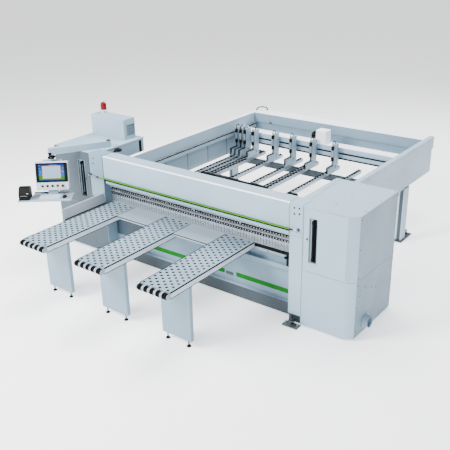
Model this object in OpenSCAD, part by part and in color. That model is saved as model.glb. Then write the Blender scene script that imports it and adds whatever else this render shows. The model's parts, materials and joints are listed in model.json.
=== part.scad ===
// CNC panel saw: a beam saw with three air tables, a gripper gantry and a swinging control console.
// X runs along the saw line, Y runs from the operator to the back, Z is up and the floor is Z = 0.

/* [Saw line] */
// Distance from the centre line to the left column
line_left = 1811; // [1700:1:1900]
// Distance from the centre line to the right column
line_right = 1630; // [1600:1:1650]
// Height of the table surface above the floor
table_h = 980; // [960:1:1000]
// Thickness of the machined table plates
plate_t = 20; // [15:1:25]
// Distance of the blade plane behind the face of the beam
blade_y = 275; // [270:1:280]
// Width of the slot that the blades come up through
slot_w = 16; // [12:1:24]
// Back edge of the rear table plate
base_rear = 520; // [515:1:560]

/* [Columns and beam] */
// Width of the left column
left_post_w = 300; // [250:1:340]
// Width of the right column
right_post_w = 200; // [180:1:240]
// Depth of both columns and of the beam box
post_d = 233; // [225:1:236]
// Underside of the columns
post_z0 = 144; // [120:1:170]
// Top of the columns and of the beam
post_top = 1766; // [1740:1:1800]
// Wall of the columns
post_wall = 8; // [5:0.5:12]
// Height of the beam face
beam_h = 372; // [350:1:390]
// Sheet of the beam box and hood
beam_wall = 6; // [4:0.5:8]
// Back face of the hood over the pressure beam
hood_y = 345; // [340:1:350]
// Lower edge of the hood
hood_z0 = 1300; // [1280:1:1320]
// Fall of the hood roof towards the back
hood_drop = 66; // [50:1:80]
// Distance the hood stays clear of the left column
hood_gap = 90; // [80:1:140]
// Radius of the rounded nose bar under the beam
nose_r = 52; // [45:1:56]
// Distance of the nose bar's axis behind the beam face
nose_y = 70; // [66:1:76]

/* [Pressure beam and curtain] */
// Clearance of the pressure beam over the table when it is up
press_lift = 125; // [115:1:135]
// Height of the pressure beam
press_h = 215; // [190:1:220]
// Wall of the pressure beam
press_wall = 12; // [8:1:16]
// Distance between the outer faces of the two pressure bars
press_w = 76; // [72:1:82]
// Width of each foot of the pressure bars
press_foot = 25; // [18:1:27]
// Radius of the cylinder rods
rod_r = 12; // [8:0.5:14]
// Radius of the lift cylinders
cyl_r = 30; // [24:1:34]
// Length of the lift cylinders
cyl_len = 200; // [160:1:220]
// Number of lift cylinders
cyl_n = 4; // [2:1:6]
// Height of the curtain hinge above the table
curtain_h = 245; // [235:1:255]
// Gap between the table and the curtain
curtain_gap = 10; // [5:1:20]
// Distance of the curtain behind the beam face
curtain_y = 130; // [126:1:140]
// Thickness of the curtain strips
curtain_t = 3; // [2:0.5:5]
// Width of one curtain strip
strip_w = 100; // [80:1:140]

/* [Base] */
// Height of the levelling feet under the plinth
foot_h = 16; // [10:1:25]
// Front of the plinth
plinth_y = 146; // [140:1:160]
// Height of the plinth above its feet
plinth_h = 187; // [170:1:200]
// Front of the lower panel
panel_y = 205; // [195:1:208]
// Sheet of the base
base_wall = 6; // [4:0.5:8]
// Underside of the shelf
shelf_z = 700; // [680:1:720]
// Height of the shelf
shelf_h = 60; // [50:1:70]
// Height of the rail under the front edge of the table
front_rail_h = 55; // [45:1:70]
// Height of the black channel along the front edge
channel_h = 40; // [34:1:46]
// Front face of the rail and end of the air tables
rail_y = 133; // [130:1:136]

/* [Air tables] */
// Width of one air table
table_w = 498; // [480:1:520]
// Pitch of the air tables
table_pitch = 1133; // [1100:1:1150]
// Left edge of the middle table
table_x = -646; // [-660:1:-630]
// Reach of the tables in front of the beam face
table_reach = 1636; // [1500:1:1700]
// Height of the sheet box of a table
table_box_h = 75; // [70:1:90]
// Sheet of the tables
table_wall = 4; // [3:0.5:6]
// Thickness of the perforated top
top_t = 6; // [4:0.5:8]
// Diameter of an air hole
hole_d = 14; // [10:1:18]
// Pitch of the hole rows
row_pitch = 50; // [45:1:70]
// Pitch of the holes in a row
hole_pitch = 130; // [110:1:150]
// Radius of the bands of the end roller
roller_r = 40; // [36:1:42]
// Width of one roller band
band_w = 62; // [50:1:70]
// Radius of the roller shaft
shaft_r = 10; // [8:0.5:14]
// Side play of the roller bands
band_gap = 1.5; // [1:0.1:3]
// Reach of the tie plates between the tables
apron_reach = 294; // [250:1:320]
// Depth of a table leg
leg_d = 58; // [50:1:70]
// Distance of the leg from the front of the table
leg_back = 344; // [300:1:400]
// Underside of a table leg
leg_z0 = 97; // [80:1:110]
// Height of the fence above the table
fence_h = 155; // [130:1:170]
// Length of the fence
fence_len = 855; // [700:1:900]
// Lean of the fence face
fence_lean = 38; // [25:1:50]
// Distance of the fence from the table edge
fence_off = 28; // [22:1:34]
// Sheet of the fence
fence_t = 5; // [4:0.5:8]

/* [Cabinets] */
// Height of both cabinets
cab_top = 1760; // [1740:1:1766]
// Depth of both cabinets
cab_d = 1153; // [1100:1:1180]
// Sheet of the cabinets
cab_wall = 4; // [3:0.5:5]
// Width of the front of the left cabinet
left_cab_w = 817; // [790:1:840]
// Underside of the left cabinet
left_cab_z0 = 90; // [70:1:110]
// Distance from the centre line to the rear right side of the left cabinet
left_cab_side = 2010; // [1990:1:2040]
// Width of the front of the right cabinet
right_cab_w = 644; // [620:1:680]
// Width of the chamfer of the right cabinet
chamfer_w = 118; // [100:1:130]
// Depth of the chamfer of the right cabinet
chamfer_d = 75; // [60:1:90]
// Underside of the right cabinet
right_cab_z0 = 26; // [20:1:40]
// Underside of the cabinet part that passes over the side frame
over_z0 = 1605; // [1603:1:1620]
// Distance from the centre line to the left side of that part
over_x = 1671; // [1665:1:1700]
// Lower edge of the doors
door_z0 = 862; // [840:1:880]
// Height of the doors
door_h = 880; // [850:1:890]
// Width of the left door
left_door_w = 790; // [760:1:795]
// Width of the right door
right_door_w = 620; // [590:1:624]
// Thickness of the doors
door_t = 25; // [20:1:30]
// Gap round the doors
door_gap = 3; // [2.5:0.1:4]
// Radius of the hinge pins
pin_r = 4; // [3:0.1:4]
// Height of the recess for the pull handle
recess_h = 618; // [560:1:640]
// Depth of the recess for the pull handle
recess_d = 18; // [15:1:18]
// Width of the left recess
left_recess_w = 148; // [130:1:160]
// Width of the right recess
right_recess_w = 113; // [100:1:125]
// Radius of the pull handles
pull_r = 13; // [10:0.5:16]
// Radius of the door locks
lock_r = 14; // [11:0.5:18]
// Radius of the dust duct
duct_r = 82; // [70:1:86]
// Height of the dust duct's axis above the floor
duct_z = 160; // [150:1:180]
// Distance of the dust duct behind the beam face
duct_y = 400; // [390:1:430]
// Length of the collar outside the cabinet
collar_len = 70; // [50:1:90]
// Wall of the dust duct
duct_wall = 3; // [2:0.5:5]

/* [Cooling box and beacon] */
// Width of the cooling box
cool_w = 772; // [740:1:790]
// Depth of the cooling box
cool_d = 261; // [240:1:290]
// Height of the cooling box
cool_h = 341; // [300:1:380]
// Distance of the cooling box behind the beam face
cool_y = 823; // [800:1:840]
// Radius of the beacon dome
dome_r = 50; // [40:1:60]
// Height of the beacon
beacon_h = 185; // [160:1:210]

/* [Console] */
// Distance from the centre line to the console pivot
pivot_x = 2545; // [2530:1:2560]
// Distance of the pivot in front of the beam face
pivot_y = 383; // [375:1:395]
// Turn of the boom on the cabinet roof
boom_turn = 60.3; // [58:0.1:62]
// Length of the boom
boom_len = 930; // [900:1:960]
// Width of the boom
boom_w = 80; // [70:1:90]
// Height of the boom
boom_h = 105; // [90:1:120]
// Turn of the console
console_turn = 39.7; // [38:0.1:41]
// Tilt of the console face
console_tilt = 12.7; // [10:0.1:14]
// Width of the console housing
console_w = 511; // [490:1:530]
// Height of the console face
console_h = 449; // [430:1:470]
// Depth of the console housing
console_d = 100; // [80:1:110]
// Distance of the console face in front of its pivot
console_off = 70; // [60:1:75]
// Distance of the console's upper edge below the boom
console_drop = 94; // [88:1:110]
// Width of the screen bezel
bezel_w = 496; // [440:1:500]
// Height of the screen bezel
bezel_h = 303; // [280:1:320]
// Distance of the controls below the upper edge
button_drop = 385; // [375:1:395]
// Pitch of the controls
button_pitch = 79; // [70:1:82]
// Radius of the buttons
button_r = 11; // [9:0.5:14]
// Height of the top of the keyboard tray
tray_z = 1150; // [1140:1:1160]
// Width of the keyboard tray
tray_w = 629; // [600:1:650]
// Depth of the keyboard tray
tray_d = 392; // [380:1:420]
// Width of the printer shelf beside the tray
shelf_w = 190; // [180:1:210]
// Thickness of the tray
tray_t = 20; // [12:1:30]

/* [Rear frame] */
// Distance from the centre line to the outer side of the side frames
frame_x = 1820; // [1815:1:1850]
// Width of the side beams
frame_w = 80; // [75:1:90]
// Underside of the side beams
frame_z0 = 1389; // [1385:1:1394]
// Top of the side beams
frame_top = 1602; // [1590:1:1602]
// Back of the machine
frame_rear = 4380; // [4340:1:4420]
// Depth of the rear beam
rear_beam_d = 322; // [280:1:350]
// Underside of the rear beam
rear_beam_z0 = 1425; // [1410:1:1440]
// Lower edge of the skirts
skirt_z0 = 966; // [950:1:980]
// Sheet of the frame
frame_wall = 5; // [4:0.5:8]
// Height of the guide rails
guide_h = 77; // [60:1:90]
// Width of the guide rails
guide_w = 50; // [45:1:60]
// Distance of the stand's legs behind the beam face
stand_y = 3300; // [3250:1:3350]
// Width of the roller tracks
track_w = 40; // [30:1:46]
// Height of the roller tracks
track_h = 60; // [50:1:64]
// Height of the rollers above the tracks
bead_h = 15; // [10:1:18]
// Length of the roller tracks
track_len = 3235; // [3200:1:3300]

/* [Gantry] */
// Distance of the gantry behind the beam face
gantry_y = 3480; // [3440:1:3500]
// Depth of the gantry
gantry_d = 230; // [200:1:260]
// Underside of the gantry
gantry_z0 = 1185; // [1170:1:1200]
// Top of the gantry
gantry_top = 1400; // [1398:1:1410]
// Width of one gripper
grip_w = 45; // [36:1:60]
// Length of a gripper foot
grip_reach = 358; // [330:1:380]
// Gap between the gripper feet and the table
grip_gap = 10; // [6:1:20]
// Height of a gripper above the table
grip_h = 507; // [480:1:520]
// Radius of the gripper cylinders
jaw_cyl_r = 25; // [20:1:30]
// Travel of the gripper jaws
jaw_travel = 50; // [40:1:55]

/* [Saw carriage] */
// Radius of the main blade
blade_r = 200; // [180:1:205]
// Thickness of the main blade
blade_t = 4; // [3:0.1:6]
// Teeth of the main blade
teeth = 60; // [40:2:96]
// Radius of the scoring blade
score_r = 90; // [80:1:100]
// Teeth of the scoring blade
score_teeth = 30; // [20:2:48]
// Depth of the main blade's axis below the table while parked
axis_drop = 235; // [230:1:245]
// Radius of the main motor
motor_r = 78; // [60:1:80]
// Length of the main motor
motor_len = 185; // [150:1:187]
// Distance between the two blades along the cut
blade_gap = 330; // [315:1:360]
// Middle of the parked carriage along the saw line
park_x = -1480; // [-1500:1:-1450]

/* [Hidden] */

$fn = 48;
// Play between pieces that pass each other
play = 0.3;
// Play of a shaft in its bore
fit = 0.05;
// Overlap that joins two shapes of one piece
lap = 1;

panel_light = "#d5dce4";
panel_mid = "#b9c4ce";
slate = "#5b6670";
black = "#17191c";
steel = "#a7adb3";

plinth_top = foot_h + plinth_h;
beam_z0 = post_top - beam_h;
channel_z0 = table_h - channel_h;
plate_z0 = table_h - plate_t;
table_z0 = table_h - table_box_h;
press_z0 = table_h + press_lift;
press_top = press_z0 + press_h;
axle_y = -(table_reach + roller_r + 4);
axle_z = table_h - roller_r - 2;
table_right = table_x + table_pitch + table_w;
cab_left = line_left + left_post_w + left_cab_w;
right_side = line_right + right_post_w;
cab_right = right_side + right_cab_w + chamfer_w;
// The machine is centred on its own bounding box
mid_x = (cab_right + collar_len - cab_left) / 2;
mid_y = (frame_rear + axle_y - roller_r) / 2;

// Moves a piece from the saw line's frame to the machine's own frame
module place() {
    translate([-mid_x, -mid_y, 0]) children();
}

// A box given by its two opposite corners
module block(a, b) {
    translate(a) cube(b - a);
}

// Extrudes a profile of Y and Z along X
module along_x(x0, x1) {
    translate([x0, 0, 0]) rotate([90, 0, 90]) linear_extrude(x1 - x0) children();
}

// Extrudes a profile of X and Z along Y
module along_y(y0, y1) {
    translate([0, y1, 0]) rotate([90, 0, 0]) linear_extrude(y1 - y0) children();
}

// A rod along X
module rod_x(x0, x1, y, z, r) {
    translate([x0, y, z]) rotate([0, 90, 0]) cylinder(h = x1 - x0, r = r);
}

// A rod along Y
module rod_y(y0, y1, x, z, r) {
    translate([x, y1, z]) rotate([90, 0, 0]) cylinder(h = y1 - y0, r = r);
}

// A rod along Z
module rod_z(z0, z1, x, y, r) {
    translate([x, y, z0]) cylinder(h = z1 - z0, r = r);
}

// A flat rectangle given by its two opposite corners
module pane(a, b) {
    translate(a) square(b - a);
}

// A rectangular frame profile given by two corners and a wall
module hollow_pane(a, b, wall) {
    difference() {
        pane(a, b);
        pane(a + [wall, wall], b - [wall, wall]);
    }
}

// Front levelling bolts of the columns
bolt_r = 12;
bolt_y = -40;
bolt_x = [-(line_left + left_post_w / 2), line_right + right_post_w / 2 - 5];
lug_z = 60;
lug_t = 20;
lug_w = 90;
pad_t = 15;

// Dark plinth with a stub under each column and a lug for each levelling bolt
module base_plinth() {
    stub_y = 30;
    place() color(slate) difference() {
        union() {
            block([-line_left, plinth_y, foot_h], [line_right, base_rear, plinth_top]);
            block([-line_left - left_post_w, stub_y, foot_h], [-line_left + lap, post_d, post_z0]);
            block([line_right - lap, stub_y, foot_h], [right_side, post_d, post_z0]);
            for (x = bolt_x)
                block([x - lug_w / 2, bolt_y - 35, lug_z], [x + lug_w / 2, stub_y + lap, lug_z + lug_t]);
        }
        block([-line_left + base_wall, plinth_y + base_wall, foot_h + base_wall],
            [line_right - base_wall, base_rear - base_wall, plinth_top + lap]);
        block([-line_left - left_post_w + post_wall, stub_y + post_wall, foot_h + base_wall],
            [-line_left - post_wall, post_d - post_wall, post_z0 + lap]);
        block([line_right + post_wall, stub_y + post_wall, foot_h + base_wall],
            [right_side - post_wall, post_d - post_wall, post_z0 + lap]);
        for (x = bolt_x)
            rod_z(lug_z - lap, lug_z + lug_t + lap, x, bolt_y, bolt_r + fit);
    }
}

vent_x = 460;
vent_w = 93;
vent_z = 303;
vent_n = 4;
vent_pitch = 12;

// Light sheet panels of the base: lower panel, shelf, front rail and rear wall
module base_panels() {
    ledge = 24;
    tie_w = 60;
    tie_t = 12;
    rail_z0 = channel_z0 - front_rail_h;
    place() color(panel_light) difference() {
        union() {
            along_x(-line_left, line_right) {
                pane([panel_y, plinth_top], [panel_y + base_wall, plate_z0]);
                hollow_pane([rail_y, shelf_z], [panel_y + base_wall, shelf_z + shelf_h], base_wall);
                hollow_pane([rail_y, rail_z0], [panel_y + base_wall, channel_z0], base_wall);
                pane([base_rear - base_wall, plinth_top], [base_rear, plate_z0]);
                pane([base_rear - ledge, plate_z0 - base_wall], [base_rear, plate_z0]);
                pane([panel_y, plate_z0 - base_wall], [panel_y + ledge, plate_z0]);
            }
            for (x = [-line_left, -tie_w / 2, line_right - tie_w])
                block([x, panel_y, plinth_top], [x + tie_w, base_rear, plinth_top + tie_t]);
        }
        for (i = [0:vent_n - 1])
            block([vent_x, panel_y - lap, vent_z + i * vent_pitch],
                [vent_x + vent_w, panel_y + base_wall + lap, vent_z + i * vent_pitch + 6]);
    }
}

// Black channel along the front edge of the table
module edge_channel() {
    web = 6;
    flange = 45;
    place() color(black) {
        along_x(-line_left, line_right) union() {
            pane([rail_y, channel_z0], [rail_y + web, plate_z0]);
            pane([rail_y, channel_z0], [rail_y + flange, channel_z0 + web]);
            pane([rail_y, plate_z0 - web], [rail_y + flange, plate_z0]);
        }
    }
}

// Front table plate with the tie plates between the air tables
module front_table_plate() {
    apron_t = 4;
    lip = 30;
    place() color(steel) {
        block([-line_left, rail_y, plate_z0], [line_right, blade_y - slot_w / 2, table_h]);
        for (i = [0, 1]) {
            x0 = table_x - table_pitch + table_w + i * table_pitch;
            x1 = x0 + table_pitch - table_w;
            block([x0, -apron_reach, table_h - apron_t], [x1, rail_y + lap, table_h]);
            block([x0, -apron_reach, table_h - lip], [x1, -apron_reach + apron_t, table_h]);
        }
    }
}

// Rear table plate behind the saw line
module rear_table_plate() {
    place() color(steel)
        block([-line_left, blade_y + slot_w / 2, plate_z0], [line_right, base_rear, table_h]);
}

rail_t = 24;
rail_h = 30;
rail_zs = [table_h - 600, table_h - 420];

// Two guide rails for the saw carriage on the rear wall of the base
module carriage_rails() {
    place() color(steel) for (z = rail_zs)
        block([-line_left, base_rear - base_wall - rail_t, z],
            [line_right, base_rear - base_wall, z + rail_h]);
}

// Left column with the mounting face of the pull cord
module left_column() {
    place() color(panel_mid) difference() {
        block([-line_left - left_post_w, 0, post_z0], [-line_left, post_d, post_top]);
        block([-line_left - left_post_w + post_wall, post_wall, post_z0 - lap],
            [-line_left - post_wall, post_d - post_wall, post_top - post_wall]);
    }
}

// Right column
module right_column() {
    place() color(panel_mid) difference() {
        block([line_right, 0, post_z0], [right_side, post_d, post_top]);
        block([line_right + post_wall, post_wall, post_z0 - lap],
            [right_side - post_wall, post_d - post_wall, post_top - post_wall]);
    }
}

leg_y0 = -table_reach + leg_back;
leg_foot_x = 180;
stand_foot_y = 3640;
stand_foot_t = 20;

// One disc foot with a stem up to a height
module disc_foot(x, y, top) {
    rod_z(0, 12, x, y, 30);
    rod_z(0, top, x, y, 9);
}

// All levelling feet and the pads under the columns
module levelling_feet() {
    pad_w = 232;
    edge = 60;
    place() color(black) {
        for (x = [-1650, -800, 0, 800, 1450])
            for (y = [plinth_y + 60, base_rear - 60])
                rod_z(0, foot_h, x, y, 40);
        for (i = [-1:1])
            for (s = [-1, 1])
                disc_foot(table_x + table_w / 2 + i * table_pitch + s * leg_foot_x, leg_y0 + leg_d / 2, leg_z0);
        for (p = [[-cab_left + edge, edge], [-line_left - left_post_w - edge, edge],
                [-cab_left + edge, cab_d - edge], [-left_cab_side - edge, cab_d - edge]])
            disc_foot(p[0], p[1], left_cab_z0);
        for (p = [[right_side + edge, edge], [cab_right - chamfer_w - edge, edge],
                [right_side + edge, cab_d - edge], [cab_right - edge, cab_d - edge]])
            rod_z(0, right_cab_z0, p[0], p[1], 30);
        for (x = bolt_x) {
            block([x - pad_w / 2, bolt_y - 80, 0], [x + pad_w / 2, 0, pad_t]);
            rod_z(pad_t - lap, lug_z + lug_t + 80, x, bolt_y, bolt_r);
            difference() {
                rod_z(lug_z + lug_t, lug_z + lug_t + 18, x, bolt_y, 22);
                rod_z(lug_z, lug_z + lug_t + 20, x, bolt_y, bolt_r - lap);
            }
        }
    }
}

// Beam over the saw line: box, hood over the pressure beam, rounded nose bar and curtain hanger
module saw_beam() {
    nose_z = beam_z0 - nose_r - 7;
    hang_z = table_h + curtain_h;
    hood_top = post_top - hood_drop;
    place() color(panel_light) difference() {
        union() {
            along_x(-line_left, line_right)
                hollow_pane([0, beam_z0], [post_d, post_top], beam_wall);
            along_x(-line_left + hood_gap, line_right) {
                polygon([[post_d - lap, post_top], [post_d, post_top], [hood_y, hood_top],
                    [hood_y, hood_z0], [hood_y - beam_wall, hood_z0],
                    [hood_y - beam_wall, hood_top - beam_wall / 2],
                    [post_d - lap, post_top - beam_wall - lap]]);
            }
            along_x(-line_left, line_right) difference() {
                union() {
                    translate([nose_y, nose_z]) circle(nose_r);
                    pane([nose_y - nose_r, nose_z], [nose_y + nose_r, beam_z0 + lap]);
                }
                translate([nose_y, nose_z]) circle(nose_r - beam_wall);
            }
            along_x(-line_left, line_right)
                pane([nose_y + nose_r - beam_wall, hang_z + hinge_eye_r], [nose_y + nose_r, nose_z]);
            for (x = hanger_x)
                translate([x - hanger_w / 2, 0, 0]) along_x(0, hanger_w) {
                    translate([curtain_y, hang_z]) circle(hinge_eye_r);
                    pane([nose_y + nose_r - beam_wall, hang_z], [curtain_y + 4, hang_z + hinge_eye_r + 6]);
                }
        }
        rod_x(-line_left - lap, line_right + lap, curtain_y, hang_z, hinge_r + fit);
    }
}

hinge_r = 5;
hinge_eye_r = 10;
hanger_w = 24;
hanger_x = [for (i = [0:4]) -line_left + 30 + i * (line_left + line_right - 60) / 4];

cyl_x = [for (i = [0:cyl_n - 1])
    -line_left + hood_gap + 200 + i * (line_left + line_right - hood_gap - 400) / (cyl_n - 1)];
cyl_z0 = 1440;

// Lift cylinders of the pressure beam, bracketed to the back of the beam box
module lift_cylinders() {
    bracket_w = 40;
    place() color(steel) for (x = cyl_x)
        difference() {
            union() {
                rod_z(cyl_z0, cyl_z0 + cyl_len, x, blade_y, cyl_r);
                block([x - bracket_w / 2, post_d, cyl_z0 + 20], [x + bracket_w / 2, blade_y, cyl_z0 + cyl_len - 20]);
            }
            rod_z(cyl_z0 - lap, cyl_z0 + cyl_len - 10, x, blade_y, rod_r + fit);
        }
}

// Pressure beam: two bars with feet, a web across the top and the cylinder rods
module pressure_beam() {
    y0 = blade_y - press_w / 2;
    y1 = blade_y + press_w / 2;
    place() color(steel) {
        along_x(-line_left + hood_gap + 10, line_right - 10) {
            pane([y0, press_z0], [y0 + press_wall, press_top]);
            pane([y1 - press_wall, press_z0], [y1, press_top]);
            pane([y0, press_z0], [y0 + press_foot, press_z0 + press_wall]);
            pane([y1 - press_foot, press_z0], [y1, press_z0 + press_wall]);
            pane([y0, press_top - press_wall], [y1, press_top]);
        }
        for (x = cyl_x)
            rod_z(press_top - lap, cyl_z0 + cyl_len - 40, x, blade_y, rod_r);
    }
}

// Clear strip curtain on its hinge rod, with the two dark clamp bars
module curtain() {
    hang_z = table_h + curtain_h;
    strip_top = hang_z - 6;
    slit = 1.5;
    slit_top = table_h + 150;
    y0 = curtain_y - curtain_t / 2;
    x0 = -line_left + 20;
    x1 = line_right - 20;
    place() color("#dfe6ea") {
        rod_x(x0, x1, curtain_y, hang_z, hinge_r);
        difference() {
            union() {
                along_y(y0, y0 + curtain_t) difference() {
                    pane([x0, table_h + curtain_gap], [x1, hang_z]);
                    for (x = [x0 + strip_w:strip_w:x1 - strip_w / 2])
                        pane([x - slit / 2, table_h], [x + slit / 2, slit_top]);
                }
                block([x0, y0 - 4, hang_z - 30], [x1, y0 + curtain_t + 4, strip_top]);
                block([x0, y0 - 4, slit_top + 2], [x1, y0 + curtain_t + 4, slit_top + 18]);
            }
            for (x = hanger_x)
                block([x - hanger_w / 2 - 1, curtain_y - 20, hang_z - hinge_eye_r - 6],
                    [x + hanger_w / 2 + 1, curtain_y + 20, hang_z + 1]);
        }
    }
}

cord_y = -40;
cord_z = 1410;
cord_r = 8;
cord_left = 1919;
cord_right = 1700;

// Safety cord stretched along the front of the beam
module pull_cord() {
    place() color("#7cc03a") rod_x(-cord_left, cord_right, cord_y, cord_z, cord_r);
}

// Turnbuckle and end brackets of the safety cord
module cord_fittings() {
    eye_l = 2091;
    eye_r = 1763;
    buckle = 98;
    place() color(black) {
        rod_x(-cord_left - buckle, -cord_left, cord_y, cord_z, 14);
        rod_x(-eye_l, -cord_left - buckle + lap, cord_y, cord_z, 5);
        block([-eye_l - 10, cord_y - 12, cord_z - 12], [-eye_l + 10, 0, cord_z + 12]);
        rod_x(cord_right, eye_r, cord_y, cord_z, 6);
        block([eye_r - 10, cord_y - 12, cord_z - 12], [eye_r + 10, 0, cord_z + 12]);
    }
}

band_pitch = table_w / 5;
finger_w = band_pitch - band_w - 2 * band_gap;
finger_r = roller_r - 4;

// Side view of a finger or cheek at the front of a table
module finger_profile() {
    difference() {
        union() {
            translate([axle_y, axle_z]) circle(finger_r);
            pane([axle_y, axle_z - finger_r], [-table_reach + lap, table_h - top_t + lap]);
        }
        translate([axle_y, axle_z]) circle(shaft_r + fit);
    }
}

// Staggered air holes of one table
module air_holes(x0) {
    rows = floor((table_reach + rail_y - 60) / row_pitch);
    for (i = [0:rows])
        for (x = [(i % 2 == 0 ? 40 : 40 + hole_pitch / 2):hole_pitch:table_w - 30])
            translate([x0 + x, -table_reach + 30 + i * row_pitch]) circle(hole_d / 2, $fn = 16);
}

// One air table: perforated top, side walls, end fingers and the seat of its leg
module air_table(x0) {
    x1 = x0 + table_w;
    z1 = table_h - top_t;
    flange = 25;
    wall = table_wall;
    union() {
        translate([0, 0, z1]) linear_extrude(top_t) difference() {
            pane([x0, -table_reach], [x1, rail_y]);
            air_holes(x0);
        }
        for (x = [x0, x1 - wall])
            block([x, -table_reach, table_z0], [x + wall, rail_y, z1 + lap]);
        block([x0, -table_reach, table_z0], [x0 + flange, rail_y, table_z0 + wall]);
        block([x1 - flange, -table_reach, table_z0], [x1, rail_y, table_z0 + wall]);
        for (y = [-table_reach, rail_y - wall, leg_y0, leg_y0 + leg_d - wall])
            block([x0, y, table_z0], [x1, y + wall, z1 + lap]);
        block([x0, leg_y0, table_z0], [x1, leg_y0 + leg_d, table_z0 + wall]);
        along_x(x0, x0 + wall) finger_profile();
        along_x(x1 - wall, x1) finger_profile();
        for (i = [1:4])
            along_x(x0 + i * band_pitch - finger_w / 2, x0 + i * band_pitch + finger_w / 2) finger_profile();
    }
}

// Left air table
module air_table_1() {
    place() color(panel_light) air_table(table_x - table_pitch);
}

// Middle air table
module air_table_2() {
    place() color(panel_light) air_table(table_x);
}

// Right air table
module air_table_3() {
    place() color(panel_light) air_table(table_x + table_pitch);
}

// End rollers: a shaft with five double-ribbed bands for each table
module end_rollers() {
    groove = 10;
    place() color(black) for (i = [-1:1]) {
        x0 = table_x + i * table_pitch;
        rod_x(x0, x0 + table_w, axle_y, axle_z, shaft_r);
        for (k = [0:4]) {
            xb = x0 + (k + 0.5) * band_pitch;
            rod_x(xb - band_w / 2, xb - groove / 2, axle_y, axle_z, roller_r);
            rod_x(xb - groove / 2 - lap, xb + groove / 2 + lap, axle_y, axle_z, roller_r - 5);
            rod_x(xb + groove / 2, xb + band_w / 2, axle_y, axle_z, roller_r);
        }
    }
}

// One folded box leg under each air table
module table_legs() {
    inset = 4;
    wall = 4;
    place() color(panel_mid) for (i = [-1:1]) {
        x0 = table_x + i * table_pitch + inset;
        x1 = x0 + table_w - 2 * inset;
        difference() {
            block([x0, leg_y0, leg_z0], [x1, leg_y0 + leg_d, table_z0]);
            block([x0 + wall, leg_y0 + wall, leg_z0 + wall], [x1 - wall, leg_y0 + leg_d - wall, table_z0 + lap]);
        }
    }
}

// Side fence on the left of the left table
module fence() {
    x0 = table_x - table_pitch;
    xf = x0 - fence_off;
    z0 = table_z0 + 50;
    z1 = table_h + fence_h;
    cap = 28;
    t = fence_t;
    place() color(panel_light) along_y(-fence_len, 0)
        polygon([[x0, z0], [x0, z0 + t], [xf, z0 + t], [xf, table_h + t], [xf - fence_lean, z1],
            [xf - fence_lean - cap, z1], [xf - fence_lean - cap, z1 - t], [xf - fence_lean - t, z1 - t],
            [xf - t, table_h], [xf - t, z0]]);
}

// Outline of the left cabinet, drawn in by a wall
module left_cab_outline(w) {
    xl = -cab_left + w;
    xf = -line_left - left_post_w - w;
    xr = -left_cab_side - w;
    polygon([[xl, w], [xf, w], [xf, post_d + w], [xr, post_d + w], [xr, cab_d - w], [xl, cab_d - w]]);
}

left_door_x = -cab_left + 12;
right_door_x = right_side + 12;
pin_in = 8;
pin_back = 5;
hinge_band = 30;

// Opening, hinge bands and pin bores of a door in a cabinet front
module door_way(x0, w, pin_x) {
    block([x0 - door_gap, -lap, door_z0 - door_gap], [x0 + w + door_gap, door_t + 40, door_z0 + door_h + door_gap]);
    rod_z(door_z0 - door_gap - 3 * cab_wall, door_z0 + door_h + door_gap + 3 * cab_wall, pin_x, pin_back, pin_r + fit);
}

// Bands above and below a door that hold its hinge pins
module door_bands(x0, w) {
    for (z = [door_z0 - door_gap - cab_wall, door_z0 + door_h + door_gap])
        block([x0 - door_gap, 0, z], [x0 + w + door_gap, hinge_band, z + cab_wall]);
}

// Left cabinet for the electrics
module left_cabinet() {
    lip = 20;
    place() color(panel_light) difference() {
        union() {
            difference() {
                translate([0, 0, left_cab_z0]) linear_extrude(cab_top - left_cab_z0) left_cab_outline(0);
                translate([0, 0, left_cab_z0 + cab_wall])
                    linear_extrude(cab_top - left_cab_z0 - 2 * cab_wall) left_cab_outline(cab_wall);
            }
            block([-left_cab_side - lap, post_d + lip, cab_top - 15], [-left_cab_side + lip, cab_d, cab_top]);
            door_bands(left_door_x, left_door_w);
        }
        door_way(left_door_x, left_door_w, left_door_x + pin_in);
    }
}

// Mounting plate with drives inside the left cabinet
module electrical_plate() {
    x0 = -cab_left + 70;
    x1 = -left_cab_side - 80;
    y1 = cab_d - cab_wall;
    place() color(steel) {
        block([x0, y1 - 32, 950], [x1, y1 - 28, 1700]);
        for (x = [x0 + 30, x1 - 60])
            for (z = [970, 1650])
                block([x, y1 - 30, z], [x + 30, y1, z + 30]);
        for (i = [0:3])
            block([x0 + 40 + i * 180, y1 - 190, 1340], [x0 + 180 + i * 180, y1 - 31, 1640]);
        block([x0 + 40, y1 - 110, 1160], [x1 - 40, y1 - 31, 1250]);
        block([x0 + 40, y1 - 90, 1010], [x1 - 40, y1 - 31, 1070]);
    }
}

// Outline of the right cabinet, drawn in by a wall
module right_cab_outline(w) {
    xl = right_side + w;
    xr = cab_right - w;
    polygon([[xl, w], [xr - chamfer_w + w * 0.5, w], [xr, chamfer_d + w * 0.3], [xr, cab_d - w], [xl, cab_d - w]]);
}

// Right cabinet with the part that passes over the side frame
module right_cabinet() {
    w = cab_wall;
    place() color(panel_light) difference() {
        union() {
            difference() {
                union() {
                    translate([0, 0, right_cab_z0]) linear_extrude(cab_top - right_cab_z0) right_cab_outline(0);
                    block([over_x, post_d, over_z0], [right_side + lap, cab_d, cab_top]);
                }
                translate([0, 0, right_cab_z0 + w]) linear_extrude(cab_top - right_cab_z0 - 2 * w) right_cab_outline(w);
                block([over_x + w, post_d + w, over_z0 + w], [right_side + 2 * w, cab_d - w, cab_top - w]);
            }
            door_bands(right_door_x, right_door_w);
        }
        door_way(right_door_x, right_door_w, right_door_x + right_door_w - pin_in);
        rod_x(right_side - lap, cab_right + lap, duct_y, duct_z, duct_r + play);
    }
}

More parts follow.
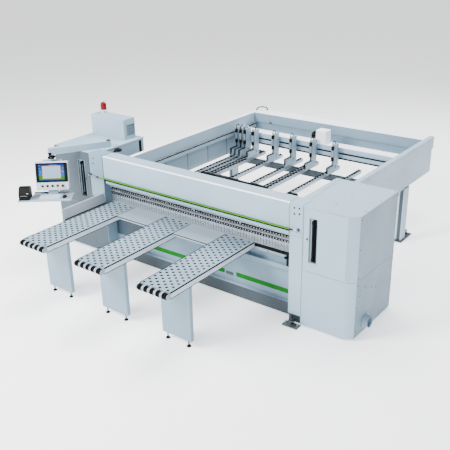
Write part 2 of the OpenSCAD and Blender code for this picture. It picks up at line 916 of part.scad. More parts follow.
// Dust duct from the base to the collar on the right cabinet
module dust_duct() {
    flange_r = duct_r + 24;
    flange_t = 8;
    neck_t = 6;
    place() color(panel_mid) difference() {
        union() {
            rod_x(line_right + play, cab_right + collar_len, duct_y, duct_z, duct_r);
            rod_x(cab_right, cab_right + flange_t, duct_y, duct_z, flange_r);
            rod_x(cab_right, cab_right + flange_t + neck_t, duct_y, duct_z, duct_r + 4);
            for (a = [30:60:330])
                rod_x(cab_right, cab_right + flange_t + 5, duct_y + (duct_r + 13) * cos(a), duct_z + (duct_r + 13) * sin(a), 6);
        }
        rod_x(line_right, cab_right + collar_len + lap, duct_y, duct_z, duct_r - duct_wall);
    }
}

cool_x = -cab_left + 38;

// Cooling box on the roof of the left cabinet
module cooling_box() {
    wall = 3;
    slots = 9;
    place() color(panel_light) difference() {
        block([cool_x, cool_y, cab_top], [cool_x + cool_w, cool_y + cool_d, cab_top + cool_h]);
        block([cool_x + wall, cool_y + wall, cab_top - lap],
            [cool_x + cool_w - wall, cool_y + cool_d - wall, cab_top + cool_h - wall]);
        for (i = [0:slots - 1])
            block([cool_x + cool_w - 2 * wall, cool_y + 77, cab_top + 80 + i * 16],
                [cool_x + cool_w + lap, cool_y + 235, cab_top + 88 + i * 16]);
    }
}

beacon_x = cool_x + 115;
beacon_y = cool_y + 200;
beacon_foot = 22;
beacon_ring = 34;

// Foot of the beacon
module beacon_base() {
    z0 = cab_top + cool_h;
    place() color(black) {
        rod_z(z0, z0 + beacon_foot, beacon_x, beacon_y, dome_r + 4);
        rod_z(z0, z0 + beacon_foot + beacon_ring, beacon_x, beacon_y, dome_r - 1);
    }
}

// Red dome of the beacon
module beacon_lens() {
    z0 = cab_top + cool_h + beacon_foot + beacon_ring;
    h = beacon_h - beacon_foot - beacon_ring;
    place() color("#d3231f") translate([beacon_x, beacon_y, z0]) rotate_extrude() difference() {
        union() {
            square([dome_r, h - dome_r]);
            intersection() {
                translate([0, h - dome_r]) circle(dome_r);
                square([dome_r, h]);
            }
        }
        translate([-lap, -lap]) square([dome_r + lap - 4, h - dome_r + lap]);
    }
}

boom_wall = 5;
swivel_r = 15;

// Boom on the cabinet roof that carries the console
module boom() {
    place() color(panel_light) translate([-pivot_x, -pivot_y, cab_top]) rotate([0, 0, boom_turn]) difference() {
        union() {
            block([-boom_w / 2, -boom_w / 2, 0], [boom_len, boom_w / 2, boom_h]);
            rod_z(0, boom_h, boom_len, 0, boom_w / 2);
        }
        block([-boom_w / 2 + boom_wall, -boom_w / 2 + boom_wall, boom_wall],
            [boom_len, boom_w / 2 - boom_wall, boom_h - boom_wall]);
        rod_z(-lap, boom_wall + lap, 0, 0, swivel_r + fit);
    }
}

// Console frame: the pivot is the origin and the face looks along -Y
module at_console() {
    translate([-pivot_x, -pivot_y, 0]) rotate([0, 0, console_turn]) children();
}

// Tilted frame of the console: origin at the middle of the face's upper edge, face in the XZ plane
module at_face() {
    at_console() translate([0, -console_off, cab_top - console_drop]) rotate([-console_tilt, 0, 0]) children();
}

// Black swivel, backing plate, stem and keyboard tray
module console_arm() {
    plate = 8;
    stem_w = 150;
    shelf_d = 240;
    back_w = 300;
    spine_w = 60;
    place() color(panel_mid) union() {
        at_console() {
            rod_z(cab_top - 45, cab_top + boom_wall + 12, 0, 0, swivel_r);
            rod_z(cab_top - 42, cab_top - play, 0, 0, 42);
            block([-35, -20, cab_top - 64], [35, 60, cab_top - 41]);
            block([-stem_w / 2, -150, tray_z - lap], [stem_w / 2, -90, tray_z + 54]);
            block([-tray_w / 2, -console_off - 350, tray_z - tray_t], [tray_w / 2, -console_off - 350 + tray_d, tray_z]);
            block([-tray_w / 2 - shelf_w, -console_off - 350, tray_z - tray_t],
                [-tray_w / 2 + lap, -console_off - 350 + shelf_d, tray_z]);
        }
        at_face() {
            block([-back_w / 2, console_d, -console_h - plate], [back_w / 2, console_d + plate, 26]);
            block([-back_w / 2, 0, -console_h - plate], [back_w / 2, console_d + plate, -console_h]);
            block([-spine_w / 2, console_d - 20, 6], [spine_w / 2, console_d + plate, 60]);
        }
    }
}

face_wall = 3;
bezel_drop = 22;
controls = [-2, -1, 0, 1, 2];

// White housing of the console, open at the back plate
module console_housing() {
    place() color("#eef1f4") at_face() difference() {
        block([-console_w / 2, 0, -console_h], [console_w / 2, console_d, 0]);
        block([-console_w / 2 + face_wall, face_wall, -console_h + face_wall],
            [console_w / 2 - face_wall, console_d + lap, -face_wall]);
        block([-bezel_w / 2 + 6, -lap, -bezel_drop - bezel_h + 6], [bezel_w / 2 - 6, face_wall + lap, -bezel_drop - 6]);
        for (i = controls)
            rod_y(-lap, face_wall + lap, i * button_pitch, -button_drop, button_r + fit);
    }
}

// Screen with its black bezel
module screen() {
    place() color(black) at_face() union() {
        block([-bezel_w / 2, -4, -bezel_drop - bezel_h], [bezel_w / 2, 0, -bezel_drop]);
        block([-bezel_w / 2 + 6 + play, -lap, -bezel_drop - bezel_h + 6 + play],
            [bezel_w / 2 - 6 - play, 30, -bezel_drop - 6 - play]);
    }
}

// Keyboard and mouse on the tray
module keyboard() {
    place() color(black) at_console() {
        block([-185, -352, tray_z], [125, -202, tray_z + 18]);
        translate([198, -300, tray_z]) linear_extrude(30) union() {
            translate([0, 22]) circle(30);
            translate([0, -22]) circle(30);
            translate([-30, -22]) square([60, 44]);
        }
    }
}

// Label printer on the shelf beside the keyboard
module label_printer() {
    x0 = -tray_w / 2 - shelf_w + 12;
    y0 = -console_off - 325;
    place() color(black) at_console() difference() {
        block([x0, y0, tray_z], [x0 + 170, y0 + 200, tray_z + 195]);
        block([x0 + 20, y0 - lap, tray_z + 120], [x0 + 150, y0 + 14, tray_z + 126]);
    }
}

// One push button: a cap in front of the face and a shank through it
module button(i, cap_r, cap_t, gap) {
    at_face() {
        rod_y(-gap - cap_t, -gap, i * button_pitch, -button_drop, cap_r);
        rod_y(-gap - lap, face_wall + 12, i * button_pitch, -button_drop, button_r);
    }
}

button_travel = 4;

// Key selector of the console
module selector_switch() {
    place() color("#8d949b") union() {
        button(-2, button_r + 3, 6, play);
        at_face() block([-2 * button_pitch - 3, -22, -button_drop - 10], [-2 * button_pitch + 3, -6, -button_drop + 10]);
    }
}

// Red stop button
module stop_button() {
    place() color("#c9201c") button(-1, button_r + 3, 6, button_travel + 1);
}

// Green start button
module start_button() {
    place() color("#1f9a47") button(0, button_r + 3, 6, button_travel + 1);
}

// Red reset button
module reset_button() {
    place() color("#c9201c") button(1, button_r + 3, 6, button_travel + 1);
}

// Emergency stop mushroom
module emergency_stop() {
    place() color("#d3231f") button(2, button_r + 10, 14, button_travel + 6);
}

// Hinged door with a recess for its pull handle
module door(x0, w, recess_x, recess_w, pin_x, lock_x) {
    mid_z = door_z0 + 440;
    difference() {
        union() {
            block([x0, 0, door_z0], [x0 + w, door_t, door_z0 + door_h]);
            rod_z(door_z0 - door_gap - cab_wall, door_z0 + door_h + door_gap + cab_wall, pin_x, pin_back, pin_r);
        }
        block([recess_x, -lap, mid_z - recess_h / 2], [recess_x + recess_w, recess_d, mid_z + recess_h / 2]);
        rod_y(-lap, door_t + lap, lock_x, door_z0 + 450, lock_r / 2 + fit);
    }
}

// Black pull handle in a recess: a bar on two posts
module pull(x) {
    z0 = door_z0 + 440 - recess_h / 2 + 40;
    z1 = door_z0 + 440 + recess_h / 2 - 40;
    rod_z(z0 - pull_r, z1 + pull_r, x, -8, pull_r);
    for (z = [z0, z1])
        rod_y(-8, recess_d, x, z, pull_r - 1);
}

// Round lock with a shank through the door and a latch behind it
module lock(x, side) {
    z = door_z0 + 450;
    rod_y(-6, 0, x, z, lock_r);
    rod_y(-lap, door_t + 10, x, z, lock_r / 2);
    rod_y(door_t + play, door_t + 10, x, z, lock_r);
    block([x - 10, door_t + 4, z - 60], [x + 10, door_t + 10, z]);
}

left_lock_x = left_door_x + left_door_w - 92;
right_lock_x = right_door_x + 54;
left_recess_x = left_door_x + left_door_w - 247;
right_recess_x = right_door_x + 82;

// Door of the left cabinet
module left_door() {
    place() color(panel_light)
        door(left_door_x, left_door_w, left_recess_x, left_recess_w, left_door_x + pin_in, left_lock_x);
}

// Pull handle of the left door
module left_handle() {
    place() color(black) pull(left_recess_x + left_recess_w / 2);
}

// Lock of the left door
module left_lock() {
    place() color(black) lock(left_lock_x);
}

// Door of the right cabinet
module right_door() {
    place() color(panel_light)
        door(right_door_x, right_door_w, right_recess_x, right_recess_w,
            right_door_x + right_door_w - pin_in, right_lock_x);
}

// Pull handle of the right door
module right_handle() {
    place() color(black) pull(right_recess_x + right_recess_w / 2);
}

// Lock of the right door
module right_lock() {
    place() color(black) lock(right_lock_x);
}

guide_z1 = 1395;
guide_x = frame_x - 70;
rail_front = 600;

// One side of the frame: top beam, skirt below it and the guide rail for the gantry
module side_frame() {
    skirt_in = frame_x - 70;
    skirt_front = base_rear + play;
    w = frame_wall;
    union() {
        difference() {
            block([frame_x - frame_w, post_d, frame_z0], [frame_x, frame_rear, frame_top]);
            block([frame_x - frame_w + w, post_d - lap, frame_z0 + w], [frame_x - w, frame_rear - w, frame_top - w]);
        }
        difference() {
            block([skirt_in, skirt_front, skirt_z0], [frame_x - 20, frame_rear, frame_z0 + lap]);
            block([skirt_in + w, skirt_front - lap, skirt_z0 + w], [frame_x - 20 - w, frame_rear - w, frame_z0 - w]);
        }
        difference() {
            block([guide_x - guide_w, rail_front, guide_z1 - guide_h], [guide_x + lap, frame_rear - rear_beam_d, guide_z1]);
            block([guide_x - guide_w + w, rail_front - lap, guide_z1 - guide_h + w],
                [guide_x - w, frame_rear - rear_beam_d + lap, guide_z1 - w]);
        }
    }
}

// Left side of the frame
module left_frame() {
    place() color(panel_mid) mirror([1, 0, 0]) side_frame();
}

// Right side of the frame
module right_frame() {
    place() color(panel_mid) side_frame();
}

// Rear beam between the side frames, with the panels below it
module rear_frame() {
    x = frame_x - frame_w;
    y0 = frame_rear - rear_beam_d;
    w = frame_wall;
    skirt_y = y0 + 42;
    place() color(panel_light) union() {
        along_x(-x, x) hollow_pane([y0, rear_beam_z0], [frame_rear, frame_top], w);
        block([-x + 10, skirt_y, skirt_z0], [x - 10, skirt_y + w, rear_beam_z0 + lap]);
        block([-x + 10, skirt_y, skirt_z0], [x - 10, skirt_y + 40, skirt_z0 + w]);
        for (i = [-3:3])
            block([i * 570 - 3, skirt_y, skirt_z0], [i * 570 + 3, skirt_y + 60, rear_beam_z0 + lap]);
    }
}

track_z0 = table_h - bead_h - track_h;
track_x = [-1605, -1475, -1355, -1278, -890, -440, -170, -98, 340, 770];

// Portal under the back of the tracks and the post under their middle
module track_stand() {
    leg_in = 105;
    leg_out = 5;
    leg_len = 165;
    beam_t = 100;
    mid_stand_y = 2250;
    place() color(slate) {
        for (s = [-1, 1]) {
            xa = min(s * (frame_x - leg_in), s * (frame_x - leg_out));
            xb = max(s * (frame_x - leg_in), s * (frame_x - leg_out));
            block([xa, stand_y, stand_foot_t - lap], [xb, stand_y + leg_len, skirt_z0]);
            block([xa - 25, stand_y - 40, 0], [xb + 25, stand_foot_y + 60, stand_foot_t]);
            rod_z(stand_foot_t - lap, 100, s * (frame_x - 55), stand_foot_y, bolt_r);
        }
        block([-frame_x + leg_in - lap, stand_y + 40, track_z0 - beam_t], [frame_x - leg_in + lap, stand_y + 130, track_z0]);
        block([-1500, mid_stand_y - 40, track_z0 - beam_t], [-860, mid_stand_y + 40, track_z0]);
        block([-1180, mid_stand_y - 30, stand_foot_t - lap], [-1010, mid_stand_y + 30, track_z0 - beam_t + lap]);
        block([-1240, mid_stand_y - 120, 0], [-950, mid_stand_y + 120, stand_foot_t]);
    }
}

// Roller tracks behind the saw line
module roller_tracks() {
    wall = 4;
    place() color(steel) for (x = track_x)
        along_y(base_rear, base_rear + track_len)
            hollow_pane([x - track_w / 2, track_z0], [x + track_w / 2, track_z0 + track_h], wall);
}

// Rows of black rollers on the tracks
module track_rollers() {
    strip = 24;
    place() color(black) for (x = track_x)
        block([x - strip / 2, base_rear + 20, track_z0 + track_h], [x + strip / 2, base_rear + track_len - 20, table_h - 1]);
}

gantry_x = 1660;
clamp_y = gantry_y - 15;

// Gantry beam with its clamp rails and the end carriages on the guide rails
module gantry() {
    w = 6;
    end_y = 40;
    clamp_zs = [gantry_z0 + 10, gantry_z0 + 107];
    x_in = guide_x - guide_w - play;
    place() color(panel_light) union() {
        along_x(-gantry_x, gantry_x)
            hollow_pane([gantry_y, gantry_z0], [gantry_y + gantry_d, gantry_top], w);
        for (z = clamp_zs)
            block([-gantry_x, clamp_y, z], [gantry_x, gantry_y + lap, z + 16]);
        for (s = [-1, 1]) {
            block([min(s * gantry_x, s * x_in), gantry_y - end_y, gantry_z0],
                [max(s * gantry_x, s * x_in), gantry_y + gantry_d + end_y, gantry_top]);
            block([min(s * gantry_x, s * (guide_x - 15)), gantry_y - end_y, guide_z1 + play],
                [max(s * gantry_x, s * (guide_x - 15)), gantry_y + gantry_d + end_y, guide_z1 + 20]);
        }
    }
}

// Drive of the gantry: cover and motor on top of the beam
module gantry_motor() {
    x0 = -13;
    x1 = 190;
    wall = 3;
    z1 = gantry_top + 238;
    motor_z = gantry_top + 115;
    place() color(panel_light) union() {
        difference() {
            block([x0, gantry_y + 10, gantry_top], [x1, gantry_y + 190, z1]);
            block([x0 + wall, gantry_y + 10 + wall, gantry_top - lap], [x1 - wall, gantry_y + 190 - wall, z1 - wall]);
        }
        rod_x(x0 - 113, x0 + lap, gantry_y + 100, motor_z, 55);
    }
}

grip_x = [-1620, -1525, -1430, -1244, -795, -413, 6, 447];
grip_z0 = table_h + grip_gap;
grip_front = clamp_y - grip_reach;
post_y = clamp_y - 156;
jaw_cyl_y = post_y - jaw_cyl_r;
jaw_cyl_z0 = table_h + 220;
foot_top = table_h + 138;

// Gripper bodies: a foot at the table and a post on the gantry
module gripper_bodies() {
    z1 = table_h + grip_h;
    place() color(panel_mid) for (x = grip_x)
        along_x(x - grip_w / 2, x + grip_w / 2) difference() {
            polygon([[clamp_y, grip_z0], [grip_front, grip_z0], [grip_front, grip_z0 + 36],
                [grip_front + 40, foot_top - 20], [post_y - 12, foot_top - 20],
                [post_y, foot_top - 8], [post_y, z1], [clamp_y, z1]]);
            translate([post_y + 60, grip_z0 + 90]) circle(28);
        }
}

// Gripper cylinders with their hoses
module gripper_cylinders() {
    head_z = table_h + 460;
    bend = 45;
    hose_r = 8;
    z1 = table_h + grip_h;
    place() color(black) for (x = grip_x) {
        difference() {
            union() {
                rod_z(jaw_cyl_z0, head_z + 20, x, jaw_cyl_y - play, jaw_cyl_r);
                for (z = [jaw_cyl_z0 + 10, head_z - 20])
                    block([x - 18, jaw_cyl_y, z], [x + 18, post_y, z + 30]);
            }
            rod_z(jaw_cyl_z0 - lap, head_z - 40, x, jaw_cyl_y - play, 9 + fit);
        }
        rod_z(head_z + 20, z1 + 12, x, jaw_cyl_y - play, hose_r);
        translate([x, jaw_cyl_y - play + bend, z1 + 12]) intersection() {
            rotate([90, 0, 90]) rotate_extrude() translate([bend, 0]) circle(hose_r);
            block([-bend, -2 * bend, 0], [bend, 2 * bend, 2 * bend]);
        }
        rod_z(z1, z1 + 12, x, jaw_cyl_y - play + 2 * bend, hose_r);
    }
}

// Gripper jaws: a black finger in front of each foot, an arm and a rod into the cylinder
module gripper_jaws() {
    finger = 14;
    jaw_w = 26;
    y0 = grip_front - play - finger;
    place() color(black) for (x = grip_x) {
        block([x - jaw_w / 2, y0, grip_z0 + 20], [x + jaw_w / 2, y0 + finger, foot_top + 12]);
        block([x - jaw_w / 2, y0, foot_top - 4], [x + jaw_w / 2, jaw_cyl_y + 12, foot_top + 12]);
        rod_z(foot_top, jaw_cyl_z0 + 60, x, jaw_cyl_y - play, 9);
    }
}

carriage_w = 560;
plate_y1 = base_rear - base_wall - rail_t - 24;
carriage_t = 12;
lift_t = 14;
lift_w = 440;
gib = 14;

// Saw carriage: a plate on four bearing blocks, with gibs that guide the lift plate
module saw_carriage() {
    y1 = plate_y1;
    y0 = y1 - carriage_t;
    z0 = rail_zs[0] - 50;
    z1 = rail_zs[1] + 80;
    block_l = 100;
    rail_y0 = base_rear - base_wall - rail_t;
    place() color(slate) translate([park_x, 0, 0]) {
        block([-carriage_w / 2, y0, z0], [carriage_w / 2, y1, z1]);
        for (x = [-carriage_w / 2, carriage_w / 2 - block_l])
            for (z = rail_zs)
                difference() {
                    block([x, y1 - lap, z - 14], [x + block_l, rail_y0 + 16, z + rail_h + 14]);
                    block([x - lap, rail_y0 - play, z - play], [x + block_l + lap, rail_y0 + 20, z + rail_h + play]);
                }
        for (s = [-1, 1]) {
            xa = s * (lift_w / 2 + play);
            xb = s * (lift_w / 2 + play + gib);
            xc = s * (lift_w / 2 - gib);
            block([min(xa, xb), y0 - lift_t - play - 8, z0], [max(xa, xb), y0 + lap, z1]);
            block([min(xb, xc), y0 - lift_t - 2 * play - 8, z0], [max(xb, xc), y0 - lift_t - 2 * play, z1]);
        }
    }
}

arbor_z = table_h - axis_drop;
main_x = -blade_gap / 2 + 45;
score_x = main_x + blade_gap;
score_z = table_h - 88 - 125;
shaft = 12;
score_motor_r = 50;

// Lift plate with the main motor and the scoring motor
module blade_lift() {
    y1 = plate_y1 - carriage_t - play;
    y0 = y1 - lift_t;
    z0 = rail_zs[0] - 40;
    m0 = blade_y + 22;
    place() color(slate) translate([park_x, 0, 0]) difference() {
        union() {
            block([-lift_w / 2, y0, z0], [lift_w / 2, y1, rail_zs[1] + 60]);
            block([-lift_w / 2 + 20, y0 - 60, rail_zs[1] + 20], [lift_w / 2 - 20, y0 + lap, rail_zs[1] + 60]);
            block([main_x - 40, m0 + 20, rail_zs[1] + 20], [main_x + 40, y0 + lap, arbor_z]);
            rod_y(m0, m0 + motor_len, main_x, arbor_z, motor_r);
            block([score_x - 60, m0 + 20, rail_zs[1] + 20], [score_x - 12, y0 + lap, score_z]);
            rod_y(m0, m0 + motor_len - 40, score_x, score_z, score_motor_r);
            rod_y(m0 - 2, m0 + lap, main_x, arbor_z, 40);
        }
        rod_y(m0 - lap - 2, m0 + 80, main_x, arbor_z, shaft + fit);
        rod_y(m0 - lap, m0 + 60, score_x, score_z, shaft + fit);
    }
}

// Saw blade in the XZ plane with raked teeth, centred on the origin
module toothed_disc(r, n, t) {
    depth = 9;
    rotate([90, 0, 0]) translate([0, 0, -t / 2]) linear_extrude(t)
        polygon([for (i = [0:n - 1], k = [0, 1, 2])
            let (a = (i + [0, 0.12, 0.45][k]) * 360 / n, q = [r - depth, r, r - depth][k])
            [q * cos(a), q * sin(a)]]);
}

// Main blade with its arbor, flange and nut
module main_blade() {
    m0 = blade_y + 22;
    place() color(steel) translate([park_x, 0, 0]) union() {
        translate([main_x, blade_y, arbor_z]) toothed_disc(blade_r, teeth, blade_t);
        rod_y(blade_y - 14, m0 + 70, main_x, arbor_z, shaft);
        rod_y(blade_y, m0 - 2 - play, main_x, arbor_z, 45);
        rod_y(blade_y - 10, blade_y, main_x, arbor_z, 45);
        rod_y(blade_y - 20, blade_y - 9, main_x, arbor_z, 22);
    }
}

// Scoring blade with its arbor
module scoring_blade() {
    m0 = blade_y + 22;
    place() color(steel) translate([park_x, 0, 0]) union() {
        translate([score_x, blade_y, score_z]) toothed_disc(score_r, score_teeth, blade_t);
        rod_y(blade_y - 10, m0 + 50, score_x, score_z, shaft);
        rod_y(blade_y, m0 - play, score_x, score_z, 28);
        rod_y(blade_y - 12, blade_y, score_x, score_z, 28);
    }
}

base_plinth();
base_panels();
edge_channel();
front_table_plate();
rear_table_plate();
carriage_rails();
left_column();
right_column();
levelling_feet();
saw_beam();
lift_cylinders();
pull_cord();
cord_fittings();
air_table_1();
air_table_2();
air_table_3();
table_legs();
fence();
left_cabinet();
electrical_plate();
right_cabinet();
dust_duct();
cooling_box();
beacon_base();
beacon_lens();
boom();
left_frame();
right_frame();
rear_frame();
track_stand();
roller_tracks();
track_rollers();
left_door();
left_handle();
left_lock();
right_door();
right_handle();
right_lock();
console_arm();
console_housing();
screen();
keyboard();
label_printer();
selector_switch();
stop_button();
start_button();
reset_button();
emergency_stop();
pressure_beam();
curtain();
end_rollers();
gantry();
gantry_motor();
gripper_bodies();
gripper_cylinders();
gripper_jaws();
saw_carriage();
blade_lift();
main_blade();
scoring_blade();
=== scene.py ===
import json
import math

import bmesh
import bpy
from mathutils import Matrix, Vector


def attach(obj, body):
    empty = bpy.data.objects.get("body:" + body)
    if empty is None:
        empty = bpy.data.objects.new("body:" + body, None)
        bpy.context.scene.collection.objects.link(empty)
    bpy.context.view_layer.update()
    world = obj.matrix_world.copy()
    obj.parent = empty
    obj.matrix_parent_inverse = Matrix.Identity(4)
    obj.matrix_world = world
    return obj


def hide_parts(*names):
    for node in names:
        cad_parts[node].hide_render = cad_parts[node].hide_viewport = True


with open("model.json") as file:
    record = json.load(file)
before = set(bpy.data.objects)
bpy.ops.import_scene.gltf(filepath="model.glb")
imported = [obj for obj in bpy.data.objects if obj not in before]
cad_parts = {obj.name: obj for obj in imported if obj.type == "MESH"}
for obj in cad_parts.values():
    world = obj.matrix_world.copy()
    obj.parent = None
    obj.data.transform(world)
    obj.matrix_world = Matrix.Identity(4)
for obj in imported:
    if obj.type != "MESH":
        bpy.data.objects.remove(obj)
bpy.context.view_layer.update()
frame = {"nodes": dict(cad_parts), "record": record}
nodes = frame["nodes"]
print("frame loaded:", len(nodes), "nodes")

# shapes are drawn in millimetres from the saw line: x along it, y to the back, z up
sawLine = Matrix.Translation((0.133, -1.33, 0.0)) @ Matrix.Scale(0.001, 4)
sharpAngle = math.radians(35)

# camera solved from the straight edges of the machine, axes in the model's frame
cameraSpec = {
    "place": (6.107, -8.387, 5.036),
    "right": (0.79871, 0.60147, -0.01724),
    "down": (0.2266, -0.3272, -0.91738),
    "forward": (-0.55742, 0.72881, -0.39763),
    "lens": 55.6,
    "sensor": 36.0,
}


def addCamera():
    spec = cameraSpec
    data = bpy.data.cameras.new("camera")
    data.lens = spec["lens"]
    data.sensor_width = spec["sensor"]
    data.clip_end = 400
    camera = bpy.data.objects.new("camera", data)
    turn = Matrix((spec["right"], [-v for v in spec["down"]], [-v for v in spec["forward"]])).transposed()
    camera.matrix_world = Matrix.Translation(spec["place"]) @ turn.to_4x4()
    bpy.context.collection.objects.link(camera)
    bpy.context.scene.camera = camera


# soft studio light: place in metres, side of the square lamp, power, colour
lightSpec = {
    "key": ((-5.0, -9.0, 8.5), 5.0, 3300, "#ffffff"),
    "front": ((3.0, -11.0, 3.5), 5.0, 430, "#fbfdff"),
    "top": ((0.0, 1.5, 9.0), 6.0, 1500, "#ffffff"),
    "back": ((2.5, 9.5, 6.5), 5.0, 700, "#f4f8ff"),
    "aim": (0.0, 0.0, 0.9),
    "sky": "#eef3fa",
    "skyStrength": 0.55,
}


def toLinear(hexColour):
    parts = [int(hexColour[i:i + 2], 16) / 255 for i in (1, 3, 5)]
    return tuple(c / 12.92 if c <= 0.04045 else ((c + 0.055) / 1.055) ** 2.4 for c in parts) + (1.0,)


def addLights():
    for name in ("key", "front", "top", "back"):
        place, size, power, colour = lightSpec[name]
        data = bpy.data.lights.new(name, "AREA")
        data.shape = "SQUARE"
        data.size = size
        data.energy = power
        data.color = toLinear(colour)[:3]
        lamp = bpy.data.objects.new(name, data)
        lamp.location = place
        lamp.rotation_euler = (Vector(lightSpec["aim"]) - Vector(place)).to_track_quat("-Z", "Y").to_euler()
        bpy.context.collection.objects.link(lamp)
    world = bpy.data.worlds.new("studio")
    world.use_nodes = True
    world.node_tree.nodes["Background"].inputs["Color"].default_value = toLinear(lightSpec["sky"])
    world.node_tree.nodes["Background"].inputs["Strength"].default_value = lightSpec["skyStrength"]
    bpy.context.scene.world = world


addCamera()
addLights()
print("camera and lights are in")


def addNode(tree, kind, settings=None, links=None):
    node = tree.nodes.new("ShaderNode" + kind)
    for key, value in (settings or {}).items():
        if isinstance(key, int) or key in node.inputs:
            node.inputs[key].default_value = value
        else:
            setattr(node, key, value)
    for key, source in (links or {}).items():
        tree.links.new(source, node.inputs[key])
    return node


